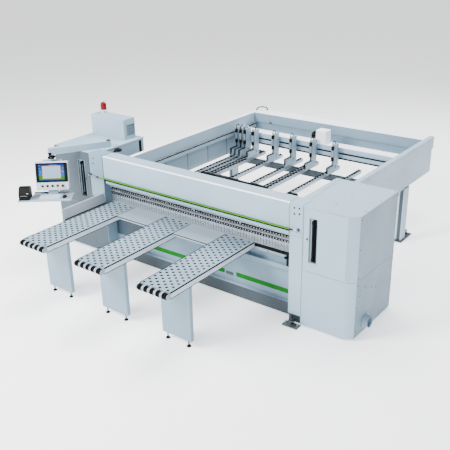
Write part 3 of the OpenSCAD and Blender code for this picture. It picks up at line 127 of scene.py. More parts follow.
# colour and shade in sRGB, patch and grain in mm, relief in mm, wear is the colour of rubbed edges
finishSpec = {
    # powder-coated sheet steel, light blue grey: even and satin, with a faint orange peel
    "powderCoatLight": dict(colour="#97afbf", shade="#8fa7b7", patch=900, grain=9, relief=0.05,
                            rough=0.42, wear="#d3e0ec", edge=4.0),
    # the same coat a tone darker, on the carrying frame: painted shade, also on the base panels, legs, left
    # column, recesses and the right cabinet's side
    "powderCoatMid": dict(colour="#778f9f", shade="#6f8797", patch=900, grain=9, relief=0.05,
                          rough=0.45, wear="#b4c3cf", edge=4.0),
    # the same coat darker still, as painted shade on the left cabinet's front and door, behind the cooling
    # grille and on sheets below the tables
    "powderCoatDeep": dict(colour="#324653", shade="#2c404d", patch=700, grain=9, relief=0.05,
                           rough=0.45, wear="#6f818d", edge=4.0),
    # slate machine enamel on the plinth: deeper, a little glossier, dusty in patches
    "slateEnamel": dict(colour="#2c3a43", shade="#26343c", patch=450, grain=7, relief=0.06,
                        rough=0.4, wear="#66737c", edge=4.0),
    # the same coat in white-grey: painted light on the top sheets of the rear beam and on upward faces, and a
    # painted highlight along the beam's round front edge
    "powderCoatLitWhite": dict(colour="#f6f9fc", shade="#eef3f7", patch=900, grain=9, relief=0.05,
                            rough=0.4, wear="#f4f6f8", edge=3.0),
    # ground steel table plate: fine lines along the saw line, cool and half bright
    "groundSteel": dict(colour="#a3b5c1", shade="#96a8b5", patch=260, grain=5, relief=0.03, rough=0.38,
                        stretch=(0.04, 1, 1), wear="#d7dde2", edge=2.0, shader={"Metallic": 0.25}),
    # zinc-plated steel of screws, nuts and shafts: bright with a grey bloom
    "zincPlate": dict(colour="#b5bac0", shade="#8f959c", patch=40, grain=3, relief=0.02, rough=0.3,
                      shader={"Metallic": 0.9}),
    # black-oxide steel of bolts and feet: dull black with brownish patches
    "blackOxide": dict(colour="#121315", shade="#1b1816", patch=60, grain=4, relief=0.05, rough=0.5,
                       shader={"Metallic": 0.4, "Specular IOR Level": 0.2}),
    # anodised aluminium extrusion: pale, satin, drawn lines along its length
    "anodisedAluminium": dict(colour="#97a5b0", shade="#87959f", patch=300, grain=4, relief=0.03, rough=0.36,
                              stretch=(1, 0.04, 1), wear="#e2e6ea", edge=2.0, shader={"Metallic": 0.6}),
    # moulded ABS, black, with the fine spark texture of its mould
    "mouldedAbs": dict(colour="#030405", shade="#060708", patch=90, grain=2, relief=0.05, rough=0.46,
                       wear="#121416", edge=1.5, shader={"Specular IOR Level": 0.12}),
    # vulcanised rubber: deep matt black with grey dust in its pores
    "blackRubber": dict(colour="#030304", shade="#060607", patch=50, grain=3, relief=0.12, rough=0.7,
                        wear="#101112", edge=2.0, shader={"Specular IOR Level": 0.1}),
    # steel with black brushed enamel: rails and strips
    "blackEnamel": dict(colour="#06080a", shade="#0a0c0f", patch=200, grain=5, relief=0.04, rough=0.36,
                        wear="#1c2024", edge=2.0, shader={"Specular IOR Level": 0.15}),
    # stretched rope in a lime PVC coat: the strands show as slanting ridges
    "ropeCoat": dict(colour="#549e00", shade="#3b8000", patch=120, grain=3, relief=0.05, rough=0.4,
                     rope=14.0, shader={"Specular IOR Level": 0.1}),
    # lime stripe paint on the base: smooth and clean
    "stripePaint": dict(colour="#006a0c", shade="#00600a", patch=300, grain=8, relief=0.03, rough=0.4,
                        shader={"Specular IOR Level": 0.1}),
    # glossy acrylic dome: saturated red with a deep, wet shine
    "redAcrylic": dict(colour="#780000", shade="#600000", patch=60, grain=6, relief=0.02, rough=0.22,
                       shader={"Specular IOR Level": 0.15, "Coat Weight": 0.08, "Coat Roughness": 0.05}),
    # moulded button caps
    "redNylon": dict(colour="#7c0000", shade="#6e0000", patch=20, grain=2, relief=0.02, rough=0.4,
                     shader={"Specular IOR Level": 0.1}),
    "greenNylon": dict(colour="#00420c", shade="#003a0a", patch=20, grain=2, relief=0.02, rough=0.4,
                       shader={"Specular IOR Level": 0.1}),
    # white polyester coat of the console: clean, slightly warm
    "consoleCoat": dict(colour="#c4d0da", shade="#bac7d2", patch=400, grain=7, relief=0.04, rough=0.36,
                        wear="#fafbfc", edge=3.0),
    # warm grey laminate on the face of the fence
    "fenceLaminate": dict(colour="#a6acb6", shade="#9ca2ad", patch=350, grain=6, relief=0.04, rough=0.4,
                          wear="#e0e1e2", edge=2.0),
    # polished brass of hose fittings
    "brass": dict(colour="#97805a", shade="#7c6947", patch=20, grain=2, relief=0.02, rough=0.28,
                  shader={"Metallic": 1.0}),
    # dark joints, and painted shade inside vents, slots and the recesses behind the pulls
    "darkGap": dict(colour="#0a0c0e", shade="#101315", patch=80, grain=5, relief=0.05, rough=0.8,
                    shader={"Specular IOR Level": 0.1}),
    # saw steel: ground rings round the arbor
    "sawSteel": dict(colour="#c3c8cd", shade="#aab1b7", patch=120, grain=2, relief=0.02, rough=0.24,
                     shader={"Metallic": 0.95}),
    # oiled steel of the pressure beam: darker as painted shade behind the curtain, with warm and cold
    # blotches
    "oiledSteelShaded": dict(colour="#7f8890", shade="#665f55", patch=110, grain=4, relief=0.04, rough=0.3,
                       stretch=(0.5, 1, 1), shader={"Metallic": 0.7}),
    # cast polyurethane of the pressure pads: waxy, honey beige; the beige also paints the warm reflections
    # seen behind the curtain
    "castPolyurethane": dict(colour="#c9a05a", shade="#b58c4a", patch=60, grain=4, relief=0.03, rough=0.4),
    # perforated table sheet, a shade greyer from the panels that slide over it
    "slidSheet": dict(colour="#889cab", shade="#7d919f", patch=420, grain=6, relief=0.04, rough=0.36,
                      wear="#c9d4dd", edge=3.0),
    # grey ribbed rubber of the desk mats
    "matRubber": dict(colour="#7d868e", shade="#6f7880", patch=60, grain=3, relief=0.1, rough=0.65),
    # soft PVC of the strip curtain: clear with milky streaks that hang down
    "clearPvc": dict(colour="#a8b0b6", shade="#949da4", patch=120, grain=14, relief=0.25, rough=0.16,
                     stretch=(1, 1, 0.06), clear=(0.03, 0.24),
                     shader={"IOR": 1.53, "Specular IOR Level": 0.6}),
    # cut edges of the strips: painted shade for the light trapped in them, dark and streaky
    "stripEdgeShade": dict(colour="#39444c", shade="#56616a", patch=60, grain=8, relief=0.1, rough=0.3,
                       stretch=(1, 1, 0.1), clear=(0.45, 0.85)),
}


def makeFinish(name, spec):
    material = bpy.data.materials.new(name)
    material.use_nodes = True
    tree = material.node_tree
    tree.nodes.clear()
    coords = addNode(tree, "TexCoord")
    mapped = addNode(tree, "Mapping", {"Scale": spec.get("stretch", (1, 1, 1))},
                     {"Vector": coords.outputs["Object"]})
    broad = addNode(tree, "TexNoise", {"Scale": 1000 / spec["patch"], "Detail": 4.0, "Roughness": 0.6},
                    {"Vector": mapped.outputs[0]})
    fine = addNode(tree, "TexNoise", {"Scale": 1000 / spec["grain"], "Detail": 2.0},
                   {"Vector": mapped.outputs[0]})
    tint = addNode(tree, "MapRange", {"From Min": 0.36, "From Max": 0.64}, {"Value": broad.outputs[0]})
    colour = addNode(tree, "Mix",
                     {"data_type": "RGBA", 6: toLinear(spec["colour"]), 7: toLinear(spec["shade"])},
                     {0: tint.outputs[0]}).outputs[2]
    rough = addNode(tree, "MapRange", {"From Min": 0.3, "From Max": 0.7, "To Min": spec["rough"] - 0.06,
                                       "To Max": spec["rough"] + 0.08}, {"Value": broad.outputs[0]})
    height = fine.outputs[0]
    if "rope" in spec:  # strands laid at a slant
        strands = addNode(tree, "TexWave", {"bands_direction": "DIAGONAL", "Scale": 1000 / spec["rope"] / 6.3,
                                            "Distortion": 0.4}, {"Vector": coords.outputs["Object"]})
        height = strands.outputs[1]
        colour = addNode(tree, "Mix", {"data_type": "RGBA", 7: toLinear(spec["shade"])},
                         {0: strands.outputs[1], 6: colour}).outputs[2]
    bump = addNode(tree, "Bump", {"Strength": 0.6, "Distance": spec["relief"] / 1000}, {"Height": height})
    if "edge" in spec:  # coat rubbed thin on the corners
        worn = addNode(tree, "Bevel", {"samples": 4, "Radius": spec["edge"] / 1000})
        flat = addNode(tree, "NewGeometry")
        facing = addNode(tree, "VectorMath", {"operation": "DOT_PRODUCT"},
                         {0: worn.outputs[0], 1: flat.outputs["Normal"]})
        edge = addNode(tree, "MapRange", {"From Min": 0.97, "From Max": 0.8, "To Max": 0.7},
                       {"Value": facing.outputs["Value"]})
        colour = addNode(tree, "Mix", {"data_type": "RGBA", 7: toLinear(spec["wear"])},
                         {0: edge.outputs[0], 6: colour}).outputs[2]
        tree.links.new(worn.outputs[0], bump.inputs["Normal"])
    shader = addNode(tree, "BsdfPrincipled", spec.get("shader"),
                     {"Base Color": colour, "Roughness": rough.outputs[0], "Normal": bump.outputs[0]})
    if "clear" in spec:
        low, high = spec["clear"]
        streak = addNode(tree, "MapRange",
                         {"From Min": 0.35, "From Max": 0.65, "To Min": low, "To Max": high},
                         {"Value": fine.outputs[0]})
        tree.links.new(streak.outputs[0], shader.inputs["Alpha"])
    addNode(tree, "OutputMaterial", {}, {"Surface": shader.outputs[0]})
    return material


finishes = {name: makeFinish(name, spec) for name, spec in finishSpec.items()}


# glass of the display with a calm picture under it: sky, hills and one pale window, on the piece's UV map
displaySpec = {"skyHigh": "#002566", "skyLow": "#0a62a8", "hill": "#1f6a00", "window": "#8ba0b6",
               "title": "#b8785c", "bar": "#003466", "line": "#6c8097", "glow": 0.12, "lines": 14,
               "frame": (0.14, 0.86, 0.12, 0.92), "pane": (0.16, 0.84, 0.15, 0.87),
               "text": (0.2, 0.8, 0.2, 0.8)}


def makeDisplay():
    spec = displaySpec
    material = bpy.data.materials.new("displayGlass")
    material.use_nodes = True
    tree = material.node_tree
    tree.nodes.clear()
    coords = addNode(tree, "TexCoord")
    split = addNode(tree, "SeparateXYZ", {}, {0: coords.outputs["UV"]})
    along, up = split.outputs[0], split.outputs[1]

    def calc(operation, first, second):
        settings, links = {"operation": operation}, {}
        for index, value in enumerate((first, second)):
            if isinstance(value, (int, float)):
                settings[index] = value
            else:
                links[index] = value
        return addNode(tree, "Math", settings, links).outputs[0]

    def between(value, low, high):
        return calc("MULTIPLY", calc("GREATER_THAN", value, low), calc("LESS_THAN", value, high))

    def area(left, right, low, high):
        return calc("MULTIPLY", between(along, left, right), between(up, low, high))

    def layer(under, colour, mask):
        mixed = addNode(tree, "Mix", {"data_type": "RGBA", 7: toLinear(colour)}, {0: mask, 6: under})
        return mixed.outputs[2]

    picture = addNode(tree, "Mix",
                      {"data_type": "RGBA", 6: toLinear(spec["skyLow"]), 7: toLinear(spec["skyHigh"])},
                      {0: up}).outputs[2]
    clouds = addNode(tree, "TexNoise", {"Scale": 5.0, "Detail": 5.0}, {"Vector": coords.outputs["UV"]})
    cloud = addNode(tree, "MapRange", {"From Min": 0.5, "From Max": 0.75, "To Max": 0.6},
                    {"Value": clouds.outputs[0]})
    picture = layer(picture, spec["window"], cloud.outputs[0])
    ridge = calc("MULTIPLY", calc("SINE", calc("MULTIPLY", along, 5.2), 0), 0.07)
    picture = layer(picture, spec["hill"], calc("LESS_THAN", up, calc("ADD", ridge, 0.33)))
    picture = layer(picture, spec["title"], area(*spec["frame"]))
    picture = layer(picture, spec["window"], area(*spec["pane"]))
    rows = calc("LESS_THAN", calc("FRACT", calc("MULTIPLY", up, spec["lines"]), 0), 0.18)
    picture = layer(picture, spec["line"], calc("MULTIPLY", rows, area(*spec["text"])))
    picture = layer(picture, spec["bar"], calc("LESS_THAN", up, 0.05))
    shader = addNode(tree, "BsdfPrincipled",
                     {"Roughness": 0.3, "Emission Strength": spec["glow"], "Specular IOR Level": 0.08},
                     {"Base Color": picture, "Emission Color": picture})
    addNode(tree, "OutputMaterial", {}, {"Surface": shader.outputs[0]})
    return material


finishes["displayGlass"] = makeDisplay()
print("finishes are made:", len(finishes))

up, toFront, toBack, toRight, toLeft = (0, 0, 1), (0, -1, 0), (0, 1, 0), (1, 0, 0), (-1, 0, 0)


def roundEdges(part, edges, offset, segments=2):
    bmesh.ops.bevel(part, geom=edges, offset=offset, segments=segments, profile=0.5, affect="EDGES",
                    material=-1)


def boxPart(low, high, bevel=0.0, steps=2):
    part = bmesh.new()
    low, high = Vector(low), Vector(high)
    bmesh.ops.create_cube(part, size=1.0,
                          matrix=Matrix.Translation((low + high) / 2) @ Matrix.Diagonal((*(high - low), 1.0)))
    if bevel:
        roundEdges(part, part.edges[:], bevel, steps)
    return part


def sideBox(side, low, high, bevel):
    # a box whose x values count outwards from the middle of the machine, on one side of it
    near, far = sorted((side * low[0], side * high[0]))
    return boxPart((near, *low[1:]), (far, *high[1:]), bevel)


def rodPart(start, end, radius, steps=24, bevel=0.0):
    part = bmesh.new()
    start, end = Vector(start), Vector(end)
    turn = Vector(up).rotation_difference(end - start).to_matrix().to_4x4()
    bmesh.ops.create_cone(part, cap_ends=True, segments=steps, radius1=radius, radius2=radius,
                          depth=(end - start).length, matrix=Matrix.Translation((start + end) / 2) @ turn)
    if bevel:
        roundEdges(part, [edge for edge in part.edges if edge.calc_face_angle(0) > 0.9], bevel)
    return part


def postParts(x, y, *rows):
    # upright rods, nuts and washers on one axis: low, high, radius, sides, bevel
    return [rodPart((x, y, low), (x, y, high), *sizes) for low, high, *sizes in rows]


def lathePart(profile, start, axis, steps=32, closed=False):
    # profile of (radius, distance along the axis), spun round the axis from start
    part = bmesh.new()
    corners = [part.verts.new((radius, 0, along)) for radius, along in profile]
    pairs = list(zip(corners, corners[1:])) + ([(corners[-1], corners[0])] if closed else [])
    lines = [part.edges.new(pair) for pair in pairs]
    bmesh.ops.spin(part, geom=corners + lines, cent=(0, 0, 0), axis=up, dvec=(0, 0, 0),
                   angle=math.tau, steps=steps, use_merge=True, use_duplicate=False)
    bmesh.ops.remove_doubles(part, verts=part.verts, dist=0.001)
    bmesh.ops.recalc_face_normals(part, faces=part.faces)
    turn = Vector(up).rotation_difference(Vector(axis)).to_matrix().to_4x4()
    part.transform(Matrix.Translation(start) @ turn)
    return part


def prismPart(profile, low, high, along="x", bevel=0.0):
    # profile in the other two axes, in the order of the alphabet
    part = bmesh.new()
    place = (lambda a, b, t: (t, a, b)) if along == "x" else (lambda a, b, t: (a, b, t))
    face = part.faces.new([part.verts.new(place(a, b, low)) for a, b in profile])
    made = bmesh.ops.extrude_face_region(part, geom=[face])["geom"]
    bmesh.ops.translate(part, vec=place(0, 0, high - low),
                        verts=[item for item in made if isinstance(item, bmesh.types.BMVert)])
    bmesh.ops.recalc_face_normals(part, faces=part.faces)
    if bevel:
        roundEdges(part, part.edges[:], bevel)
    return part


def tubePart(points, radius):
    curve = bpy.data.curves.new("hose", "CURVE")
    curve.dimensions = "3D"
    curve.bevel_depth = radius
    curve.bevel_resolution = 3
    curve.use_fill_caps = True
    curve.resolution_u = 6
    spline = curve.splines.new("BEZIER")
    spline.bezier_points.add(len(points) - 1)
    for knot, place in zip(spline.bezier_points, points):
        knot.co = place
        knot.handle_left_type = knot.handle_right_type = "AUTO"
    holder = bpy.data.objects.new("hose", curve)
    mesh = bpy.data.meshes.new_from_object(holder)
    part = bmesh.new()
    part.from_mesh(mesh)
    bpy.data.objects.remove(holder)
    bpy.data.curves.remove(curve)
    bpy.data.meshes.remove(mesh)
    return part


def at(x, y, z):
    return Matrix.Translation((x, y, z))


def turned(degrees, axis="Z"):
    return Matrix.Rotation(math.radians(degrees), 4, axis)


def facing(normal, places):
    # places whose own z looks along the normal, for screws and studs
    turn = Vector(up).rotation_difference(Vector(normal)).to_matrix().to_4x4()
    return [at(*place) @ turn for place in places]


def stamp(whole, part, places, finish=0):
    # copies a part into the whole at each place, then frees it
    for face in part.faces:
        face.material_index = finish
    mesh = bpy.data.meshes.new("stamp")
    part.to_mesh(mesh)
    part.free()
    for place in places:
        count = len(whole.verts)
        whole.from_mesh(mesh)
        whole.verts.ensure_lookup_table()
        bmesh.ops.transform(whole, matrix=place, verts=whole.verts[count:])
    bpy.data.meshes.remove(mesh)


def finishPiece(whole, name, coats, body, stands=()):
    whole.transform(sawLine)
    for face in whole.faces:
        face.smooth = True
    for edge in whole.edges:
        edge.smooth = not (len(edge.link_faces) == 2 and edge.calc_face_angle(0) > sharpAngle)
    mesh = bpy.data.meshes.new(name)
    whole.to_mesh(mesh)
    whole.free()
    piece = bpy.data.objects.new(name, mesh)
    bpy.context.collection.objects.link(piece)
    for coat in coats:
        mesh.materials.append(finishes[coat])
    weighted = piece.modifiers.new("weightedNormals", "WEIGHTED_NORMAL")
    weighted.keep_sharp = True
    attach(piece, body)
    if stands:
        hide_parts(*stands)


def addPiece(name, coats, parts, body="machine", stands=(), place=None):
    # a part may come with its places, and then with the number of its coat
    whole = bmesh.new()
    for part in parts:
        if isinstance(part, tuple):
            stamp(whole, *part)
        else:
            stamp(whole, part, [place or at(0, 0, 0)])
    finishPiece(whole, name, coats.split(), body, stands)


def addSheets(sheets):
    # plain sheets, strips and blocks: finish, width of the broken edge, corners of each box
    for name, (coat, bevel, *boxes) in sheets.items():
        addPiece(name, coat, [boxPart(low, high, bevel) for low, high in boxes])


# finishes of the CAD nodes that stay as they are
nodesOf = {
    "slateEnamel": "base_plinth track_stand saw_carriage blade_lift",
    "blackEnamel": "edge_channel levelling_feet left_lock right_lock gripper_jaws",
    "groundSteel": "front_table_plate rear_table_plate",
    "zincPlate": "carriage_rails electrical_plate cord_fittings selector_switch",
    "anodisedAluminium": "lift_cylinders roller_tracks",
    "slidSheet": "air_table_1 air_table_2 air_table_3",
    "mouldedAbs": "gripper_cylinders left_handle right_handle",
    "redAcrylic": "beacon_lens emergency_stop",
    "redNylon": "stop_button reset_button",
    "greenNylon": "start_button",
    "ropeCoat": "pull_cord",
    "consoleCoat": "beacon_base",
    "oiledSteelShaded": "pressure_beam",
    "sawSteel": "main_blade scoring_blade",
    # the darker coat on the base panels paints the shade under the tables
    "powderCoatMid": "base_panels",
}


def coatNodes():
    for coat, names in nodesOf.items():
        for node in names.split():
            mesh = nodes[node].data
            mesh.materials.clear()
            mesh.materials.append(finishes[coat])


# nodes that get softly broken edges: finish, width of the edge in mm; the darker coats on the left column,
# legs, rear frame and left door paint their shade
softSpec = {
    "left_column": ("powderCoatMid", 5), "right_column": ("powderCoatLight", 5),
    "table_legs": ("powderCoatMid", 1.5), "fence": ("fenceLaminate", 1),
    "cooling_box": ("powderCoatLight", 1), "boom": ("powderCoatLight", 2),
    "left_frame": ("powderCoatLight", 2), "right_frame": ("powderCoatLight", 2),
    "rear_frame": ("powderCoatMid", 2), "gantry": ("powderCoatLight", 2),
    "gripper_bodies": ("powderCoatLight", 2), "dust_duct": ("powderCoatLight", 1),
    "left_cabinet": ("powderCoatLight", 1.5), "right_cabinet": ("powderCoatLight", 1.5),
    "left_door": ("powderCoatDeep", 1.5), "right_door": ("powderCoatLight", 1.5),
    "console_arm": ("powderCoatLight", 2),
}
# a second coat on the faces that look one way: painted light on upward faces, painted shade on the left
# cabinet's front and the right cabinet's side
paintedLightAndShadeCoat = {
    "rear_frame": (up, "powderCoatLitWhite"), "gantry": (up, "powderCoatLitWhite"),
    "left_frame": (up, "powderCoatLitWhite"), "left_cabinet": (toFront, "powderCoatDeep"),
    "right_cabinet": (toRight, "powderCoatMid"),
}
# sunk seam between the upper and lower sheets of the cabinets, and the faces it runs over
seamSpec = {"height": 850.0, "width": 4.0, "depth": 3.0}
seamFaces = {
    "left_cabinet": lambda place, normal: (normal.y < -0.9 and place.y < 3
                                           or normal.x > 0.9 and place.x > -2118),
    "right_cabinet": lambda place, normal: (normal.y < -0.5 and place.y < 80
                                            or normal.x > 0.5 and place.x > 2586),
}
bodyOf = {node: body for body, members in frame["record"]["behaviour"]["bodies"].items() for node in members}


def softCopy(node, bevel):
    # the node's own shape with broken edges, in the saw line's millimetres
    whole = bmesh.new()
    whole.from_mesh(nodes[node].data)
    whole.transform(sawLine.inverted())
    bmesh.ops.remove_doubles(whole, verts=whole.verts, dist=0.02)
    bmesh.ops.dissolve_limit(whole, angle_limit=math.radians(0.5), verts=whole.verts, edges=whole.edges)
    rims = [edge for edge in whole.edges if len(edge.link_faces) == 2 and edge.calc_face_angle(0) > 0.6]
    bmesh.ops.bevel(whole, geom=rims, offset=bevel, segments=2, profile=0.5, affect="EDGES",
                    material=-1, clamp_overlap=True)
    return whole


def cutSeam(whole, runsOver):
    # two level cuts, then the band between them is pushed in
    spec = seamSpec
    for side in (-0.5, 0.5):
        bmesh.ops.bisect_plane(whole, geom=whole.verts[:] + whole.edges[:] + whole.faces[:], plane_no=up,
                               plane_co=(0, 0, spec["height"] + side * spec["width"]), dist=0.001)
    band = [face for face in whole.faces
            if abs(face.calc_center_median().z - spec["height"]) < spec["width"] / 2
            and abs(face.normal.z) < 0.5 and runsOver(face.calc_center_median(), face.normal)]
    bmesh.ops.inset_region(whole, faces=band, thickness=0.0, depth=-spec["depth"], use_boundary=True,
                           use_even_offset=True)


def softenNodes():
    for node, (coat, bevel) in softSpec.items():
        whole = softCopy(node, bevel)
        if node in seamFaces:
            cutSeam(whole, seamFaces[node])
        # the second coat is painted light on upward faces and painted shade on one shaded side
        way, second = paintedLightAndShadeCoat.get(node, (up, coat))
        for face in whole.faces:
            face.material_index = int(second != coat and face.normal.dot(Vector(way)) > 0.9)
        coats = [coat, second] if node in paintedLightAndShadeCoat else [coat]
        finishPiece(whole, node + "_skin", coats, bodyOf[node], [node])


coatNodes()
softenNodes()
print("nodes are coated and softened")

screwSpec = {"height": 4.0, "steps": 10}


def screwPart(radius):
    height = screwSpec["height"]
    profile = [(0, height * 0.7), (radius * 0.45, height * 0.7), (radius * 0.55, height),
               (radius * 0.8, height), (radius, height * 0.4), (radius, -1), (0, -1)]
    return lathePart(profile, (0, 0, 0), up, screwSpec["steps"])


def addScrews(name, coat, radius, places, body="machine"):
    addPiece(name, coat, [(screwPart(radius), places)], body)


stripeSpec = {"front": 205.0, "thick": 1.2, "low": 302, "high": 374, "runs": ((-1014, 400), (609, 1600))}


def addStripes():
    spec = stripeSpec
    front = spec["front"]
    addPiece("base_stripe", "stripePaint",
             [boxPart((left, front - spec["thick"], spec["low"]), (right, front + 1, spec["high"]), 0.4)
              for left, right in spec["runs"]])


ventSpec = {"left": 425, "right": 562, "low": 298, "high": 352, "front": 205.0, "blades": 5}


def addBaseVent():
    spec = ventSpec
    left, right, front, low = spec["left"], spec["right"], spec["front"], spec["low"]
    parts = [boxPart((left, front - 1.5, low), (right, front + 0.5, spec["high"]), 0.5)]
    step = (spec["high"] - low - 12) / spec["blades"]
    for index in range(spec["blades"]):
        z = low + 7 + index * step
        blade = [(front - 1, z), (front - 6, z + 1), (front - 6, z + 2.5), (front - 1, z + 6)]
        parts.append(prismPart(blade, left + 4, right - 4))
    addPiece("base_vent", "slateEnamel", parts)


baseSheets = {
    "edge_seal": ("blackRubber", 0.8, ((986, 130.8, 924), (1629, 133.6, 979))),
    # ledge between the lower panel and the plinth
    "plinth_ledge": ("powderCoatLight", 1, ((-1810, 147, 200.5), (1629, 206, 204.5))),
    # dark sheets that paint the shade below the table, on the column and at the left of the base
    "painted_shade_sheets": ("powderCoatDeep", 0.6, ((-2104, -1.4, 130), (-1818, 0.6, 884)),
                    ((-1809, 201.8, 764), (-150, 204.6, 882)), ((-1809, 201.8, 384), (-1020, 204.6, 694))),
    # cover plates on the tops of the columns
    "column_caps": ("powderCoatLight", 0.8, ((-2107, 4, 1764), (-1815, 229, 1765.9)),
                    ((1634, 4, 1764), (1826, 229, 1765.9))),
    # black bar between the face of the beam and its nose, right under the cord: painted shadow of the gap
    # there
    "nose_shadow_bar": ("blackRubber", 3, ((-1808, 4, 1358), (1627, 28, 1395))),
    "fence_foot": ("blackRubber", 1.5, ((-1807, -853, 981), (-1797, -4, 993))),
}
railSpec = {"knob": (1509, 134, 897), "bracket": ((1514, 122, 766), (1566, 134, 981)),
            "hook": ((1504, 116, 937), (1566, 134, 977)), "stud": (1211, 133, 897)}


def addRailFittings():
    spec = railSpec
    knob = [(0, 42), (12, 42), (19, 36), (21, 26), (17, 16), (9, 10), (8, 0), (0, 0)]
    addPiece("rail_fittings", "mouldedAbs", [
        lathePart(knob, spec["knob"], toFront, 20), boxPart(*spec["bracket"], 2), boxPart(*spec["hook"], 3),
        (screwPart(8), facing(toFront, [spec["stud"]]))])


columnSpec = {
    "screws": ((-2010, 1690), (-2022, 1605), (-2090, 1040), (1693, 1700), (1770, 1706), (1697, 1617),
               (1772, 1630)),
    "feet": (-1960, 1725), "boltOut": 88, "boltY": -52,
}


def addColumnFittings():
    spec = columnSpec
    addScrews("column_screws", "blackRubber", 13, facing(toFront, [(x, 0, z) for x, z in spec["screws"]]))
    parts = []
    for x in spec["feet"]:  # washer, nut and stud of each clamp bolt, then the bright sheet under them
        for side in (-1, 1):
            parts += postParts(x + side * spec["boltOut"], spec["boltY"], (15, 19, 18, 20, 0.8),
                               (18, 31, 13, 6, 1.2), (30, 52, 7, 14, 1))
        parts += postParts(x, -40, (98, 100, 24, 20, 0.5))
        parts.append(boxPart((x - 113, -129, 14), (x + 113, -5, 16), 0.8))
    addPiece("floor_bolts", "zincPlate", parts)


beamSpec = {"left": -1811, "right": 1630, "low": 1394, "top": 1766, "deep": 233, "corner": 26.0,
            "noseY": 70, "noseZ": 1335, "nose": 52, "hangers": 5, "cap": (-1798, 346, 1760), "capRadius": 64}


def addBeamCover():
    spec = beamSpec
    left, right, top, corner = spec["left"], spec["right"], spec["top"], spec["corner"]
    box = boxPart((left, 0, spec["low"]), (right, spec["deep"], top), corner, 4)
    hood = [(205, 1742), (233, 1765), (345, 1700), (345, 1300), (339, 1300), (339, 1695), (233, 1757)]
    parts = [prismPart(hood, left + 90, right, "x", 1.2),
             rodPart((left + 1, spec["noseY"], spec["noseZ"]), (right - 1, spec["noseY"], spec["noseZ"]),
                     spec["nose"], 48, 1),
             boxPart((left + 2, 26, 1340), (right - 2, 121, 1398), 2),
             boxPart((left + 2, 116, 1236), (right - 2, 122, 1345), 1)]
    hanger = [(117, 1222), (126, 1216), (134, 1216), (140, 1224), (137, 1238), (117, 1242)]
    for index in range(spec["hangers"]):
        x = left + 30 + index * (right - left - 60) / (spec["hangers"] - 1)
        parts.append(prismPart(hanger, x - 12, x + 12, "x", 0.8))
    whole = bmesh.new()
    stamp(whole, box, [at(0, 0, 0)])
    for side in whole.faces:  # painted highlight: the top front edge's round faces get the white coat
        middle = side.calc_center_median()
        paintedHighlight = middle.y < corner and middle.z > top - corner and 0.2 < side.normal.z < 0.95
        side.material_index = int(paintedHighlight)
    for part in parts:
        stamp(whole, part, [at(0, 0, 0)])
    finishPiece(whole, "beam_cover", ["powderCoatLight", "powderCoatLitWhite"], "machine", ["saw_beam"])


chainSpec = {"runs": ((-40, 1080), (1420, 1560)), "link": 38, "y": 302, "z": 1748, "sag": 4}


def addCableChain():
    spec = chainSpec
    y, z = spec["y"], spec["z"]
    links = [at(x, y, z + spec["sag"] * math.sin(x * 0.016))
             for low, high in spec["runs"] for x in range(low, high, spec["link"])]
    parts = [(boxPart((-17, -20, -17), (17, 20, 17), 4, 2), links)]
    for low, high in spec["runs"]:  # inner band, and the brackets that stand on the hood
        parts.append(rodPart((low - 16, y, z), (high - 16, y, z), 12, 16, 2))
        parts += [boxPart((x - 12, y - 12, z - 26), (x + 12, y + 12, z - 10), 2)
                  for x in (low + 60, (low + high) / 2, high - 80)]
    addPiece("cable_chain", "mouldedAbs", parts)


def addBeamFittings():
    spec = beamSpec
    x, y, low = spec["cap"]
    radius, tall = spec["capRadius"], 32
    rim = [(0, tall), (radius - 16, tall), (radius - 4, tall - 5), (radius, tall - 14), (radius, 0), (0, 0)]
    addPiece("beam_cap", "mouldedAbs", [
        lathePart(rim, (x, y, low), up, 36),
        lathePart([(0, 14), (9, 14), (12, 10), (12, 0), (0, 0)], (x, y, low + tall - 2), up, 16),
        boxPart((x - 13, y - 100, low - 2), (x + 13, y - 40, low + 12), 3)])
    addScrews("beam_screws", "zincPlate", 5,
              facing(up, [(x, y, spec["top"]) for y in (40, 200) for x in range(-1700, 1601, 300)])
              + facing(toBack, [(x, 345, 1330) for x in range(-1690, 1601, 235)]))
    addPiece("nose_ends", "mouldedAbs",  # end blocks of the nose bar
             [rodPart((low, spec["noseY"], spec["noseZ"]), (high, spec["noseY"], spec["noseZ"]), 55, 32, 2)
              for low, high in ((-1811, -1790), (1610, 1630))])


cordSpec = {"y": -40, "z": 1410, "left": -1919, "right": 1700, "buckle": 98, "radius": 8.0,
            "eyes": (-2091, 1763)}


def addCordFittings():
    spec = cordSpec
    y, z, left, right = spec["y"], spec["z"], spec["left"], spec["right"]
    end = left - spec["buckle"]
    parts = [boxPart((end + 8, y - 4, z + side * 13 - 3), (left - 8, y + 4, z + side * 13 + 3), 1.5)
             for side in (-1, 1)]  # open frame of the turnbuckle, then its nuts and the clamped ends
    clamps = ((end, end + 14, 16, 6), (left - 14, left, 16, 6), (left - 2, left + 46, 12, 16),
              (right - 46, right + 2, 12, 16))
    parts += [rodPart((low, y, z), (high, y, z), radius, steps, 1.5) for low, high, radius, steps in clamps]
    for x in spec["eyes"]:
        parts += postParts(x, y, (z - 20, z + 20, 7, 14, 1)) + [rodPart((x, -1, z), (x, -10, z), 22, 24, 1.5)]
    addPiece("cord_clamps", "blackOxide", parts)
    addPiece("cord_sleeve", "ropeCoat", [rodPart((left, y, z), (right, y, z), spec["radius"], 20)],
             stands=["pull_cord"])


# clear strips hang from a rod between two dark bars whose studs show as a dotted line
curtainSpec = {"left": -1791, "right": 1610, "strip": 48.0, "y": 130.0, "rod": 1225.0,
               "low": 990, "high": 1217, "bars": ((1190, 1219), (1116, 1152)), "stud": 46.0, "bow": 6.0,
               "padLeft": -1690, "padPitch": 60, "pads": 55}


